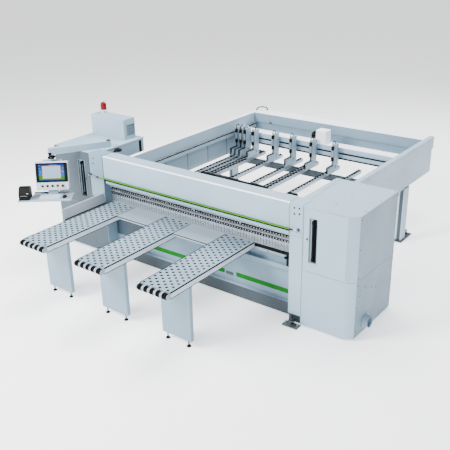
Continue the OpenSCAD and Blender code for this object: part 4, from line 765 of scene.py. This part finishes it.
def addCurtain():
    spec = curtainSpec
    first, last, y, low, bars = spec["left"], spec["right"], spec["y"], spec["low"], spec["bars"]
    strips, edges = [], []
    steps = [k / 4 for k in range(5)]
    for index in range(int((last - first) / spec["strip"])):
        left = first + index * spec["strip"]
        edges.append(boxPart((left - 3, y - 5, low + 4), (left + 3, y - 3, bars[1][0] - 3), 0.5))
        push = 1.3 if index % 2 else -1.3  # every other strip hangs in front
        ring = [(left + k * (spec["strip"] + 1), y + push + side * 1.1 - spec["bow"] * math.sin(math.pi * k))
                for side, row in ((-1, steps), (1, steps[::-1])) for k in row]
        strips.append(prismPart(ring, low + (3 if index % 3 else 0), spec["high"], "z"))
    addPiece("curtain_strips", "clearPvc", strips, "curtain", ["curtain"])
    addPiece("strip_edges", "stripEdgeShade", edges, "curtain")
    addPiece("curtain_bars", "blackEnamel", [rodPart((first, y, spec["rod"]), (last, y, spec["rod"]), 5, 16)]
             + [boxPart((first, y + out - 1.5, z0), (last, y + out + 1.5, z1), 0.8)
                for z0, z1 in bars for out in (-7.5, 7.5)], "curtain")
    studs = [(first + 12 + index * spec["stud"], y - 9, (z0 + z1) / 2)
             for z0, z1 in bars for index in range(int((last - first) / spec["stud"]))]
    stud = lathePart([(0, 4), (6, 3.6), (9, 1.5), (9, -1), (0, -1)], (0, 0, 0), up, 10)
    addPiece("curtain_studs", "zincPlate", [(stud, facing(toFront, studs))], "curtain")
    pads = [spec["padLeft"] + k * spec["padPitch"] for k in range(spec["pads"])]
    addPiece("pressure_pads", "castPolyurethane", [  # under both bars of the pressure beam, and on its front
        (boxPart((-24, -11, -3), (24, 11, 1), 1), [at(x, depth, 1105) for x in pads for depth in (250, 300)]),
        (boxPart((-22, -2, -26), (22, 2, 26), 1), [at(x, 236.5, 1150) for x in pads])], "pressure_beam")


addStripes()
addBaseVent()
addSheets(baseSheets)
addRailFittings()
addColumnFittings()
addBeamCover()
addCableChain()
addBeamFittings()
addCordFittings()
addCurtain()
print("base, columns and beam are dressed")

tableSpec = {"lefts": (-1779, -646, 487), "width": 498, "front": -1636, "back": 133, "top": 980.0,
             "rows": 35, "rowPitch": 50, "holePitch": 130, "inset": 40, "firstRow": 30, "hole": 7.0}


def addTables():
    spec = tableSpec
    front, back, top, hole = spec["front"], spec["back"] - 6, spec["top"], spec["hole"]
    trimAndShadow, sides, screws, places = [], [], [], []
    for left in spec["lefts"]:
        right = left + spec["width"]
        for low, high in ((left - 2, left + 10), (right - 10, right + 2)):
            trimAndShadow.append(boxPart((low - 1, front - 2, top - 13), (high + 1, back, top + 1.5), 1))
            # below it, a black strip along the lower edge of the side: painted shadow
            trimAndShadow.append(boxPart((low, front, top - 86), (high, back, top - 74), 1))
        for low, high in ((left - 2.2, left - 0.4), (right + 0.4, right + 2.2)):  # pale sheet on each side: painted light on the tables' side faces
            sides.append(boxPart((low, front + 2, top - 75), (high, back, top - 12), 0.5))
        for row in range(spec["rows"]):
            x = spec["inset"] + (row % 2) * spec["holePitch"] / 2
            while x <= spec["width"] - 30:
                places.append(at(left + x, front + spec["firstRow"] + row * spec["rowPitch"], top))
                x += spec["holePitch"]
        screws += facing(toFront, [(x, front, top - 50) for x in (left + 60, left + 250, right - 60)])
        for y in range(front + 120, 60, 330):
            screws += facing(toLeft, [(left - 2, y, top - 44)]) + facing(toRight, [(right + 2, y, top - 44)])
    addPiece("table_trim_and_shadow", "blackRubber", trimAndShadow)
    addPiece("table_sides_painted_light", "consoleCoat", sides)
    nozzle = [(hole + 14, 0), (hole + 12, 0.9), (hole - 2, 0.9), (hole - 3, 0.2), (hole - 3, -3.5),
              (0, -3.8), (0, -6.5), (hole - 0.2, -6.5), (hole - 0.2, 0)]
    addPiece("air_nozzles", "blackRubber", [(lathePart(nozzle, (0, 0, 0), up, 10), places)])
    addScrews("table_screws", "zincPlate", 6, screws)
    addPiece("tie_lip", "blackRubber",  # along the tie plates between the tables
             [boxPart((left + spec["width"] + 1, -296, 968), (left + 1132, -290, 981), 1)
              for left in spec["lefts"][:2]])


rollerSpec = {"radius": 40.0, "width": 62.0, "bands": 5, "y": -1680, "z": 938}


def addRollers():
    spec, table = rollerSpec, tableSpec
    r, half, y, z = spec["radius"], spec["width"] / 2, spec["y"], spec["z"]
    profile = [(10, -half), (r - 4, -half), (r - 1, -half + 2), (r, -half + 5)]
    for centre in (-0.32 * half * 2, 0.32 * half * 2):  # two ribbed rings with fine grooves
        for k in range(-1, 2):
            rib = centre + k * 6
            profile += [(r, rib - 2.2), (r, rib + 2.2), (r - 2, rib + 2.7), (r - 2, rib + 3.3)]
        if centre < 0:
            profile += [(r, -6), (r - 6, -5), (r - 6, 5), (r, 6)]
    profile += [(r, half - 3), (r - 1, half - 1), (r - 4, half), (10, half)]
    pitch = table["width"] / spec["bands"]
    places = [at(left + (k + 0.5) * pitch, y, z) for left in table["lefts"] for k in range(spec["bands"])]
    band = lathePart(profile, (0, 0, 0), toRight, 36, closed=True)
    addPiece("roller_bands", "blackRubber", [(band, places)], "end_rollers", ["end_rollers"])
    addPiece("roller_shafts", "zincPlate",
             [rodPart((left, y, z), (left + table["width"], y, z), 10, 24, 1) for left in table["lefts"]],
             "end_rollers")


legSpec = {"front": -1292, "back": -1234, "feet": 180}


def addLegs():
    spec, table = legSpec, tableSpec
    front = spec["front"]
    plates, nuts = [], []
    for left in table["lefts"]:
        middle, right = left + table["width"] / 2, left + table["width"]
        for side in (-1, 1):
            nuts += postParts(middle + side * spec["feet"], (front + spec["back"]) / 2, (84, 97, 15, 6, 1.5),
                              (11, 22, 17, 24, 4), (20, 32, 13, 6, 1.5))
        plates.append(boxPart((left + 20, front - 1, 868), (right - 20, front + 1, 900), 0.6))
        heads = [(x, front - 1, 884) for x in (left + 60, middle, right - 60)]
        plates.append((screwPart(8), facing(toFront, heads), 1))
    addPiece("leg_nuts", "blackEnamel", nuts)
    addPiece("leg_flanges", "powderCoatLight zincPlate", plates)


addTables()
addRollers()
addLegs()
addScrews("fence_screws", "blackOxide", 6, facing(up, [(-1860, y, 1135) for y in (-800, -430, -60)]))
print("tables are dressed")

pullSpec = {"left": -2299.0, "right": 1980.5, "radius": 16.0, "out": -8.0, "ends": 269.0, "middle": 1302.0}


def addPulls():
    spec = pullSpec
    out, r = spec["out"], spec["radius"]
    low, high = spec["middle"] - spec["ends"], spec["middle"] + spec["ends"]
    elbow = [(0, -18), (r * 0.8, -16), (r * 1.05, -4), (r * 1.12, 12), (r * 0.98, 30), (r * 0.84, 40),
             (0, 40)]
    foot = [(0, -r * 0.9), (r * 0.8, -r * 0.55), (r * 1.05, 2), (r * 1.1, 20), (r * 1.35, 25), (0, 25)]
    for side in ("left", "right"):
        x = spec[side]
        parts = [rodPart((x, out, low), (x, out, high), r * 0.82, 28)]
        for z, way in ((low, 1), (high, -1)):  # bulbous elbow at each end
            parts.append(lathePart(elbow, (x, out, z), (0, 0, way), 28))
            parts.append(lathePart(foot, (x, out, z), toBack, 28))
        addPiece(side + "_pull", "mouldedAbs", parts, side + "_door", [side + "_handle"])


lockSpec = {"left": -2218.0, "right": 1896.0, "z": 1312.0, "ring": 19.0}


def addLocks():
    spec = lockSpec
    z, ring = spec["z"], spec["ring"]
    for side in ("left", "right"):
        x = spec[side]
        profile = [(14.4, -2.2), (ring - 1, -2.2), (ring, -1), (ring, 1), (14.4, 1)]
        addPiece(side + "_lock_ring", "zincPlate", [lathePart(profile, (x, 0, z), toBack, 36, closed=True)],
                 side + "_door")
        bit = boxPart((x - 1.6, -7.4, z - 7), (x + 1.6, -5.5, z + 7), 0.5)
        addPiece(side + "_key_bit", "zincPlate", [bit], side + "_lock")


# recess behind each pull: left and right edge, then the edges of a dark plate from its middle, painted shade
# behind the pull
recessSpec = {"left": (-2373.0, -2225.0, 2, 46), "right": (1924.0, 2037.0, -8, 46),
              "low": 993.0, "high": 1611.0, "depth": 18.0}


def addRecesses():
    spec = recessSpec
    low, high, deep = spec["low"], spec["high"], spec["depth"]
    for side in ("left", "right"):
        left, right, shadowLeft, shadowRight = spec[side]
        # the recess floor in the darker coat: painted shade
        parts = [boxPart((left + 1, deep - 1.2, low + 1), (right - 1, deep - 0.2, high - 1), 0.3)]
        rim = ((left - 5, left + 1.2, low - 5, high + 5), (right - 1.2, right + 5, low - 5, high + 5),
               (left - 5, right + 5, low - 5, low + 1.2), (left - 5, right + 5, high - 1.2, high + 5))
        parts += [boxPart((x0, -1.6, z0), (x1, 2, z1), 0.7) for x0, x1, z0, z1 in rim]
        addPiece(side + "_recess_frame", "powderCoatMid", parts, side + "_door")
        mid = (left + right) / 2
        # dark plate behind the pull: painted shade
        shadowPlate = boxPart((mid + shadowLeft, deep - 2.4, low + 6), (mid + shadowRight, deep - 1, high - 6), 0.4)
        addPiece(side + "_recess_shadow", "darkGap", [shadowPlate], side + "_door")


# where the cabinets' screw heads sit: side walls, backs and roofs
cabinetSpec = {"right": 2592, "inner": -2010, "back": 1153, "roof": 1760, "seam": ((1816, 43), (1737, 1096)),
               "covers": ((1930, 2500, 560, 1300), (-2860, -2080, 640, 1660))}


def louvrePart(width, height, blades, deep=7.0):
    # a pressed panel of slanted blades that looks along -y, its lower left corner at the origin
    part = bmesh.new()
    stamp(part, boxPart((-14, -1.5, -14), (width + 14, 0.8, height + 14), 0.6), [at(0, 0, 0)])
    step = height / blades
    for index in range(blades):
        low = index * step + 3
        blade = [(-1, low), (-deep, low + 1.5), (-deep + 1, low + 3), (-1, low + step * 0.62)]
        stamp(part, prismPart(blade, 0, width), [at(0, 0, 0)])
    return part


def addCabinetScrews():
    spec = cabinetSpec
    right, inner, back, roof = spec["right"], spec["inner"], spec["back"], spec["roof"]
    rightWall = [(right, y, z) for z in (120, 480, 800, 900, 1300, 1700) for y in (115, 1120)]
    rightWall += [(right, y, z) for y, z in ((180, 620), (180, 700), (330, 690), (520, 610), (640, 560))]
    backs = [(x, back, z) for x in (1870, 2550) for z in (90, 480, 870, 1260, 1700)]
    backs += [(x, back, z) for x in (-2890, -2050) for z in (150, 560, 970, 1380, 1700)]
    roofs = [(x, y, roof) for x in (1760, 2150, 2560) for y in (270, 690, 1120)]
    roofs += [(x, y, roof) for x in (-2150, -2050) for y in (300, 560)]
    innerWall = [(inner, y, z) for y in (270, 1120) for z in (150, 560, 970, 1380)]
    addScrews("cabinet_screws", "blackOxide", 8, facing(toRight, rightWall) + facing(toBack, backs)
              + facing(up, roofs) + facing(toRight, innerWall))


def addCabinetDetails():
    spec = cabinetSpec
    addPiece("cabinet_louvres", "powderCoatLight", [  # outlets in the backs, turned to look along +y
        (louvrePart(420, 260, 10), [at(2440, 1151.4, z) @ turned(180) for z in (1380, 240)]),
        (louvrePart(480, 300, 11), [at(-2230, 1151.4, 240) @ turned(180)])])
    parts = []
    for left, right, low, high in spec["covers"]:
        parts.append(boxPart((left, 1150.5, low), (right, 1152.9, high), 0.9))
        heads = [(x, 1152, z) for x in (left + 20, right - 20)
                 for z in (low + 25, (low + high) / 2, high - 25)]
        parts.append((screwPart(7), facing(toBack, heads), 1))
    addPiece("rear_covers", "powderCoatMid zincPlate", parts)
    # joints between the columns and the cabinets, and the seam on the roof
    start, end = (Vector((*point, spec["roof"])) for point in spec["seam"])
    turn = Vector(toBack).rotation_difference(end - start).to_matrix().to_4x4()
    addPiece("sheet_joints", "darkGap", [
        boxPart((-2114, -0.6, 150), (-2109, 2, 1758), 0.2),
        boxPart((1827.5, -0.6, 150), (1832.5, 2, 1758), 0.2),
        boxPart((1632, -0.5, 1308), (1828, 1, 1311), 0.2),
        (boxPart((-2, 0, -0.6), (2, (end - start).length, 0.5), 0.2), [at(*start) @ turn])])


coolingSpec = {"right": -2118.0, "vent": (900, 1058, 1840, 1984), "blades": 9, "beacon": (-2775, 1023, 2123)}


def addCooling():
    spec = coolingSpec
    y0, y1, z0, z1 = spec["vent"]
    right = spec["right"]
    # the gauze in the darkest coat: painted shade behind the grille
    addPiece("cooling_gauze", "powderCoatDeep",
             [boxPart((right + 0.2, y0 - 10, z0 - 12), (right + 1.2, y1 + 10, z1 + 12), 0.3)])
    rim = ((z0 - 22, z0 - 12, y0 - 20, y1 + 20), (z1 + 12, z1 + 22, y0 - 20, y1 + 20),
           (z0 - 22, z1 + 22, y0 - 20, y0 - 8), (z0 - 22, z1 + 22, y1 + 8, y1 + 20))
    parts = [boxPart((right - 1, near, low), (right + 4, far, high), 1.2) for low, high, near, far in rim]
    step = (z1 - z0) / spec["blades"]
    for index in range(spec["blades"]):
        low = z0 + index * step + 2
        parts.append(boxPart((right, y0 - 10, low), (right + 3, y1 + 10, low + 6), 1))
    addPiece("cooling_grille", "powderCoatMid", parts)
    addScrews("cooling_screws", "zincPlate", 5,
              facing(toFront, [(x, 823, z) for x in (-2870, -2500, -2140) for z in (1785, 2080)])
              + facing(toRight, [(right, y, z) for y in (845, 1062) for z in (1785, 2080)]))
    collar = [(49, 0), (55, 1), (56, 8), (56, 20), (52, 24), (49, 24)]  # white, under the red dome
    addPiece("beacon_collar", "consoleCoat", [lathePart(collar, spec["beacon"], up, 40, closed=True)])


# the boom reaches forward over the door, and the console hangs from its end
boomSpec = {"end": (-2545, -383), "top": 1760, "turn": 60.3, "length": 930.0, "swivelZ": 1718}
consoleTurn = 39.7


def addBoom():
    spec = boomSpec
    place = at(*spec["end"], spec["top"]) @ turned(spec["turn"])
    disc = lathePart([(0, 8), (34, 8), (38, 4), (38, 0), (0, 0)], (spec["length"], 0, 105), up, 32)
    addPiece("boom_end", "mouldedAbs", [boxPart((-44, -44, 0), (4, 44, 40), 6, 3), disc], place=place)
    ring = [(16, 0), (40, 0), (43, 3), (43, 38), (40, 41), (16, 41)]
    swivel = (*spec["end"], spec["swivelZ"])
    addPiece("swivel_cover", "mouldedAbs", [
        lathePart(ring, swivel, up, 36, closed=True),
        (boxPart((-52, -40, -24), (52, 62, 10), 6), [at(*swivel) @ turned(consoleTurn)])], "console")


collarSpec = {"place": (2592.0, 400, 160), "radius": 82.0}


def addCollar():
    r = collarSpec["radius"]
    profile = [(r - 2, 70), (r + 3, 70), (r + 4, 66), (r + 3, 60), (r, 58), (r, 12), (r - 2, 12)]
    bead = lathePart(profile, collarSpec["place"], toRight, 48, closed=True)
    addPiece("collar_bead", "powderCoatLight", [bead])


addPulls()
addLocks()
addRecesses()
addCabinetScrews()
addCabinetDetails()
addSheets({"side_slot": ("darkGap", 0.5, ((-2011, 1040, 1500), (-2009, 1100, 1720)))})
addCooling()
addBoom()
addCollar()
print("cabinets are dressed")

# console pieces are drawn round its swivel, and those of its front round the top edge of the leaning face
consolePivot = at(*boomSpec["end"], 0) @ turned(consoleTurn)
consoleFront = consolePivot @ at(0, -70, 1666) @ turned(-12.7, "X")
consoleSpec = {"width": 511.0, "height": 449.0, "depth": 100.0, "corner": 16.0, "bezel": (248.0, 22.0, 325.0),
               "glass": (-200.0, 197.0, -48.0, -296.0), "controls": 385.0, "pitch": 79.0}


def roundUpright(part, offset, segments):
    # rounds the four edges that run from front to back
    edges = [edge for edge in part.edges if abs(edge.verts[0].co.y - edge.verts[1].co.y) > 1]
    roundEdges(part, edges, offset, segments)


def addConsole():
    spec = consoleSpec
    half = spec["width"] / 2
    shell = boxPart((-half, 0, -spec["height"]), (half, spec["depth"], 0))
    roundUpright(shell, spec["corner"], 6)
    roundEdges(shell, [edge for edge in shell.edges if edge.calc_face_angle(0) > 0.9], 5, 3)
    addPiece("console_shell", "consoleCoat", [shell], "console", ["console_housing"], consoleFront)
    wide, top, low = spec["bezel"]
    bezel = boxPart((-wide, -4.5, -low), (wide, 6, -top))
    roundUpright(bezel, 7, 4)
    faces = [side for side in bezel.faces if side.normal.y < -0.9]
    bmesh.ops.inset_region(bezel, faces=faces, thickness=30, depth=0)
    bmesh.ops.inset_region(bezel, faces=faces, thickness=2.5, depth=-2.5)
    addPiece("screen_bezel", "mouldedAbs", [bezel], "console", ["screen"], consoleFront)
    rings = [(17.5, 3), (20, 3), (21.5, 1), (21.5, -1), (17.5, -1)]
    addPiece("button_rings", "blackOxide",
             [lathePart(rings, controlPlace(index), toFront, 28, closed=True) for index in range(-2, 3)],
             "console", place=consoleFront)
    addPiece("console_louvres", "consoleCoat",
             [(louvrePart(240, 120, 8, 5), [consoleFront @ at(120, spec["depth"] + 8, -330) @ turned(180)])],
             "console")


def addDisplay():
    left, right, high, low = consoleSpec["glass"]
    glass = bmesh.new()
    bmesh.ops.create_grid(glass, x_segments=1, y_segments=1, size=0.5)
    layer = glass.loops.layers.uv.new("UVMap")
    for side in glass.faces:
        for loop in side.loops:
            loop[layer].uv = (loop.vert.co.x + 0.5, loop.vert.co.y + 0.5)
    glass.transform(at((left + right) / 2, -4.8, (high + low) / 2) @ turned(90, "X")
                    @ Matrix.Diagonal((right - left, high - low, 1, 1)))
    addPiece("display", "displayGlass", [glass], "console", place=consoleFront)


def controlPlace(index):
    # the five controls stand in a row under the screen
    return (index * consoleSpec["pitch"], 0, -consoleSpec["controls"])


keySpec = {"rows": 5, "columns": 15, "low": (-185, -352), "high": (125, -202), "top": 1150.0, "key": 16.5,
           "pitch": 19.4, "space": (4, 10)}


def addKeyboard():
    spec = keySpec
    (x0, y0), (x1, y1), z = spec["low"], spec["high"], spec["top"]
    pitch, first, last = spec["pitch"], *spec["space"]
    case = [(y0, z), (y0 + 3, z + 9), (y1 - 3, z + 15), (y1, z + 12), (y1, z)]
    key = boxPart((-spec["key"] / 2, -10, 0), (spec["key"] / 2, 10, 5))
    roundEdges(key, [edge for edge in key.edges if min(v.co.z for v in edge.verts) > 1], 1.6)
    places = [consolePivot @ at(x0 + 9 + (column + 0.5) * pitch, y0 + 20 + row * 24, z + 10.5 + row * 1.2)
              for row in range(spec["rows"]) for column in range(spec["columns"])
              if row > 0 or not first <= column < last]
    space = boxPart((x0 + 11 + first * pitch, y0 + 10, z + 10), (x0 + 7 + last * pitch, y0 + 30, z + 15.5), 2)
    addPiece("keyboard_keys", "consoleCoat", [prismPart(case, x0, x1, "x", 1.2), (key, places), space],
             "console", ["keyboard"], consolePivot)


mouseSpec = {"place": (198, -300), "half": (36, 58, 38)}


def addMouse():
    x, y = mouseSpec["place"]
    z = keySpec["top"]
    mouse = bmesh.new()
    bmesh.ops.create_uvsphere(mouse, u_segments=28, v_segments=16, radius=1.0)
    mouse.transform(Matrix.Diagonal((*mouseSpec["half"], 1)))
    bmesh.ops.bisect_plane(mouse, geom=mouse.verts[:] + mouse.edges[:] + mouse.faces[:], plane_co=(0, 0, 0),
                           plane_no=(0, 0, -1), clear_outer=True)
    bmesh.ops.holes_fill(mouse, edges=[edge for edge in mouse.edges if edge.is_boundary])
    wheel = rodPart((x - 3, y + 28, z + 30), (x + 3, y + 28, z + 30), 8, 20, 1)
    addPiece("mouse", "mouldedAbs", [(mouse, [consolePivot @ at(x, y, z)]), wheel], "console",
             place=consolePivot)


deskSpec = {"printer": (-492.0, -395.0), "wide": 170,
            "profile": ((0, 0), (0, 95), (26, 132), (80, 186), (128, 194), (180, 178), (199, 140), (199, 0))}


def addDesk():
    z = keySpec["top"]
    mats = [boxPart((-306, -366, z - 0.5), (-196, -190, z + 3), 1.2),
            boxPart((138, -372, z - 0.5), (304, -60, z + 3), 1.2),
            boxPart((-500, -416, z - 0.5), (-320, -182, z + 2), 0.8)]
    addPiece("desk_mats", "matRubber", mats, "console", place=consolePivot)
    bar = boxPart((-318, -66, z - 4), (-74, -44, z + 10), 3)
    addPiece("cable_bar", "mouldedAbs", [bar], "console", place=consolePivot)
    left, near = deskSpec["printer"]
    right = left + deskSpec["wide"]
    shell = [(near + y, z + rise) for y, rise in deskSpec["profile"]]
    addPiece("printer_shell", "mouldedAbs", [
        prismPart(shell, left, right, "x", 7),
        boxPart((left + 14, near - 3, z + 70), (right - 14, near + 6, z + 78), 1.5),
        boxPart((left - 1, near + 30, z + 118), (right + 1, near + 170, z + 122), 1)],
        "console", ["label_printer"], consolePivot)
    addPiece("printer_label", "consoleCoat", [
        boxPart((left + 30, near - 6, z + 73), (right - 30, near + 2, z + 74.5), 0.3),
        boxPart((right - 42, near + 4, z + 104), (right - 18, near + 14, z + 112), 1)],
        "console", place=consolePivot)


buttonSpec = {"stop_button": (-1, "redNylon"), "start_button": (0, "greenNylon"),
              "reset_button": (1, "redNylon"), "radius": 16.5, "low": 5.0, "high": 11.0}


def addButtons():
    spec = buttonSpec
    radius, low, high = spec["radius"], spec["low"], spec["high"]
    cap = [(0, high - 1), (radius * 0.7, high - 0.8), (radius * 0.82, high), (radius - 1, high),
           (radius, high - 1.5), (radius, low), (radius - 5.5, low), (radius - 5.5, -4), (0, -4)]
    for node in ("stop_button", "start_button", "reset_button"):
        index, coat = spec[node]
        addPiece(node + "_cap", coat, [lathePart(cap, controlPlace(index), toFront)], node, [node],
                 consoleFront)
    mushroom = [(0, 25), (10, 24.4), (17, 22), (20.5, 18), (21, 14), (19, 11), (12, 10), (11, 10),
                (11, -4), (0, -4)]
    addPiece("stop_mushroom", "redAcrylic", [lathePart(mushroom, controlPlace(2), toFront, 36)],
             "emergency_stop", ["emergency_stop"], consoleFront)
    base = [(0, 6.3), (12, 6.3), (14, 4.5), (14, 0.3), (11, 0.3), (11, -4), (0, -4)]
    addPiece("selector_knob", "blackEnamel", [
        lathePart(base, controlPlace(-2), toFront),
        (boxPart((-3, -22, -12), (3, -5, 12), 1.5), [consoleFront @ at(*controlPlace(-2))])],
        "selector", ["selector_switch"], consoleFront)


addConsole()
addDisplay()
addKeyboard()
addMouse()
addDesk()
addButtons()
print("console is dressed")

beadSpec = {"tracks": (-1605, -1475, -1355, -1278, -890, -440, -170, -98, 340, 770),
            "front": 560, "back": 3720, "pitch": 90, "radius": 30.0, "width": 34, "z": 949.0}


def addBeads():
    spec = beadSpec
    half = spec["width"] / 2
    rows = range(spec["front"], spec["back"], spec["pitch"])
    addPiece("bead_rollers", "blackRubber", [
        (rodPart((-half, 0, 0), (half, 0, 0), spec["radius"], 12),
         [at(x, y, spec["z"]) for x in spec["tracks"] for y in rows])], stands=["track_rollers"])
    lips = []
    for x in spec["tracks"]:  # bright lip and end plate, and on the left a black strip: painted shade on the track's left wall
        lips += [boxPart((x + 22, 522, 940), (x + 26, 3753, 966), 0.8),
                 boxPart((x - 16, 3754.5, 908), (x + 16, 3757, 962), 1),
                 (boxPart((x - 29, 522, 936), (x - 21, 3753, 976), 1.5), [at(0, 0, 0)], 1)]
    addPiece("track_lips", "anodisedAluminium blackRubber", lips)


# posts of the side beams every sheet width, posts of the rear beam every bay
frameSpec = {"first": 820, "pitch": 580, "last": 4300, "bay": 570, "guide": (610, 4050), "topSheet": 868,
             "hose": ((-1800, 4230, 1600), (-1798, 4244, 1636), (-1770, 4290, 1654), (-1700, 4335, 1655),
                      (-1640, 4352, 1640), (-1630, 4354, 1600))}


def addFrameSeams():
    spec = frameSpec
    bay = spec["bay"]
    seams = [sideBox(side, (1748.6, y - 5, 968), (1750.5, y + 5, 1316), 0.4)
             for side in (-1, 1) for y in range(spec["first"], spec["last"], spec["pitch"])]
    seams += [boxPart((k * bay - 5, 4059.4, 1428), (k * bay + 5, 4060.6, 1598), 0.3) for k in range(-3, 3)]
    addPiece("skirt_seams", "darkGap", seams)
    screws = []
    for side in (-1, 1):
        for y in range(spec["first"], spec["last"], spec["pitch"]):
            for z in (1000, 1355):
                screws += facing((side, 0, 0), [(side * 1800, y - 40, z), (side * 1800, y + 40, z)])
                screws += facing((-side, 0, 0), [(side * 1750, y - 40, min(z, 1290))])
        screws += facing((side, 0, 0), [(side * 1820, y, 1560) for y in range(400, spec["last"], 290)])
    for k in range(-3, 4):
        for z in (1000, 1395):
            screws += facing(toFront, [(k * bay - 60, 4100, z)]) + facing(toBack, [(k * bay + 60, 4105, z)])
    addScrews("frame_screws", "blackOxide", 6, screws)


def addFrameSheets():
    spec = frameSpec
    near, far = spec["guide"]
    bay, sheet = spec["bay"], spec["topSheet"]
    edges, flanges, ends = [], [], []
    for side in (-1, 1):
        # hardened rail and rack on each guide, black from grease
        edges += [sideBox(side, (low, near, 1394), (high, far, 1395.2), 0.3)
                  for low, high in ((1699, 1716), (1722, 1748))]
        edges.append(sideBox(side, (1698.6, near, 1374), (1700.6, far, 1395), 0.4))
        # light flanges of the stand's legs with their nuts, and end caps of the side beams
        flanges += [sideBox(side, (low, 3297, 25), (high, 3468, 964), 1.5)
                    for low, high in ((1713, 1735), (1795, 1817))]
        nuts = postParts(side * 1765, 3640, (60, 78, 17, 6, 1.5), (19, 34, 21, 6, 1.5))
        flanges += [(nut, [at(0, 0, 0)], 1) for nut in nuts]
        ends.append(sideBox(side, (1746, 4377.5, 1395), (1814, 4379.9, 1596), 1))
    addPiece("guide_edges", "blackEnamel", edges)
    addPiece("leg_flanges_rear", "powderCoatLight blackOxide", flanges)
    addPiece("beam_ends", "powderCoatMid", ends)
    addPiece("rear_top", "powderCoatLitWhite",  # top sheets of the rear beam with their joints, white-grey as painted light
             [boxPart((left + 1.5, 4062, 1601), (left + sheet - 1.5, 4376, 1601.9), 0.4)
              for left in range(-2 * sheet, 2 * sheet, sheet)])
    addPiece("rear_panels", "powderCoatMid",  # hang under the rear beam, with a gap at each post
             [boxPart((k * bay + 5, 4097, 970), ((k + 1) * bay - 5, 4099.6, 1418), 0.8)
              for k in range(-3, 3)])
    hose = spec["hose"]
    addPiece("corner_hose", "mouldedAbs", [tubePart(hose, 11)]
             + [gland for x, y, z in (hose[0], hose[-1]) for gland in postParts(x, y, (z, z + 18, 19, 6, 2))])
    addSheets({"end_switch": ("brass", 3, ((-1378, 4038, 1432), (-1332, 4062, 1462)))})


gantrySpec = {"x": 1655.0, "front": 3465.0, "rails": (1195, 1292), "top": 1400.0, "motor": (-13, 3580, 1515),
              "fins": 9}


def addGantry():
    spec = gantrySpec
    wide, near = spec["x"], spec["front"]
    addPiece("clamp_rails", "blackEnamel",
             [boxPart((-wide, near - 1.2, z - 4), (wide, near + 14.5, z + 20), 1) for z in spec["rails"]],
             "gantry")
    columns = range(-1600, 1601, 400)
    heads = facing(up, [(x, y, spec["top"]) for x in columns for y in (3510, 3680)])
    heads += facing(toBack, [(x, 3710, z) for x in columns for z in (1215, 1370)])
    addScrews("gantry_screws", "zincPlate", 7, heads, "gantry")
    addPiece("drive_cover", "powderCoatLitWhite", [boxPart((-13, 3490, 1400), (190, 3670, 1638), 5, 3)],
             "gantry", ["gantry_motor"])
    profile = [(0, 0), (52, 0), (55, 3)]
    for index in range(spec["fins"]):  # cooling fins
        profile += [(55, 8 + index * 9), (55, 12 + index * 9), (49, 12.5 + index * 9), (49, 16.5 + index * 9)]
    profile += [(55, 92), (55, 112), (0, 112)]
    addPiece("drive_motor", "blackEnamel", [lathePart(profile, spec["motor"], toLeft, 40),
                                            boxPart((-95, 3560, 1566), (-40, 3600, 1592), 3)], "gantry")


gripSpec = {"places": (-1620, -1525, -1430, -1244, -795, -413, 6, 447), "y": 3283.7, "half": 22.5,
            "cylinder": 1275,
            "screws": ((3150, 1010), (3290, 1010), (3440, 1150), (3440, 1350), (3330, 1450), (3440, 1460))}


def addGrippers():
    spec = gripSpec
    y = spec["y"]
    sleeve = lathePart([(24, 0), (26.2, 1), (26.2, 119), (24, 120)], (0, 0, 0), up, 28, closed=True)
    places = [at(x, y, spec["cylinder"]) for x in spec["places"]]
    addPiece("cylinder_sleeves", "anodisedAluminium", [(sleeve, places)], "gantry")
    fittings = []
    for x in spec["places"]:
        fittings += postParts(x, y, (1460, 1476, 12, 6, 1.5))
        fittings.append(rodPart((x - 27, y, 1235), (x - 24, y, 1235), 7, 12, 0.8))
    addPiece("hose_fittings", "brass", fittings, "gantry")
    heads = []
    for x in spec["places"]:
        for side in (-1, 1):
            wall = x + side * spec["half"]
            heads += facing((side, 0, 0), [(wall, *point) for point in spec["screws"]])
    addScrews("gripper_screws", "blackOxide", 5, heads, "gantry")


addBeads()
addFrameSeams()
addFrameSheets()
addGantry()
addGrippers()
print("rear frame, tracks and gantry are dressed")

floorSpec = {"size": 120.0, "colour": "#ffffff", "shade": "#fbfcfd", "glow": 0.9}


def addFloor():
    spec = floorSpec
    whole = bmesh.new()
    bmesh.ops.create_circle(whole, cap_ends=True, segments=96, radius=spec["size"])
    mesh = bpy.data.meshes.new("floor")
    whole.to_mesh(mesh)
    whole.free()
    floor = bpy.data.objects.new("floor", mesh)
    bpy.context.collection.objects.link(floor)
    # matt white studio floor, lit a little from itself so that it stays pale to the horizon
    paint = dict(colour=spec["colour"], shade=spec["shade"], patch=2500, grain=40, relief=0.02, rough=0.7,
                 shader={"Emission Color": (1, 1, 1, 1), "Emission Strength": spec["glow"]})
    mesh.materials.append(makeFinish("studioFloor", paint))


addFloor()
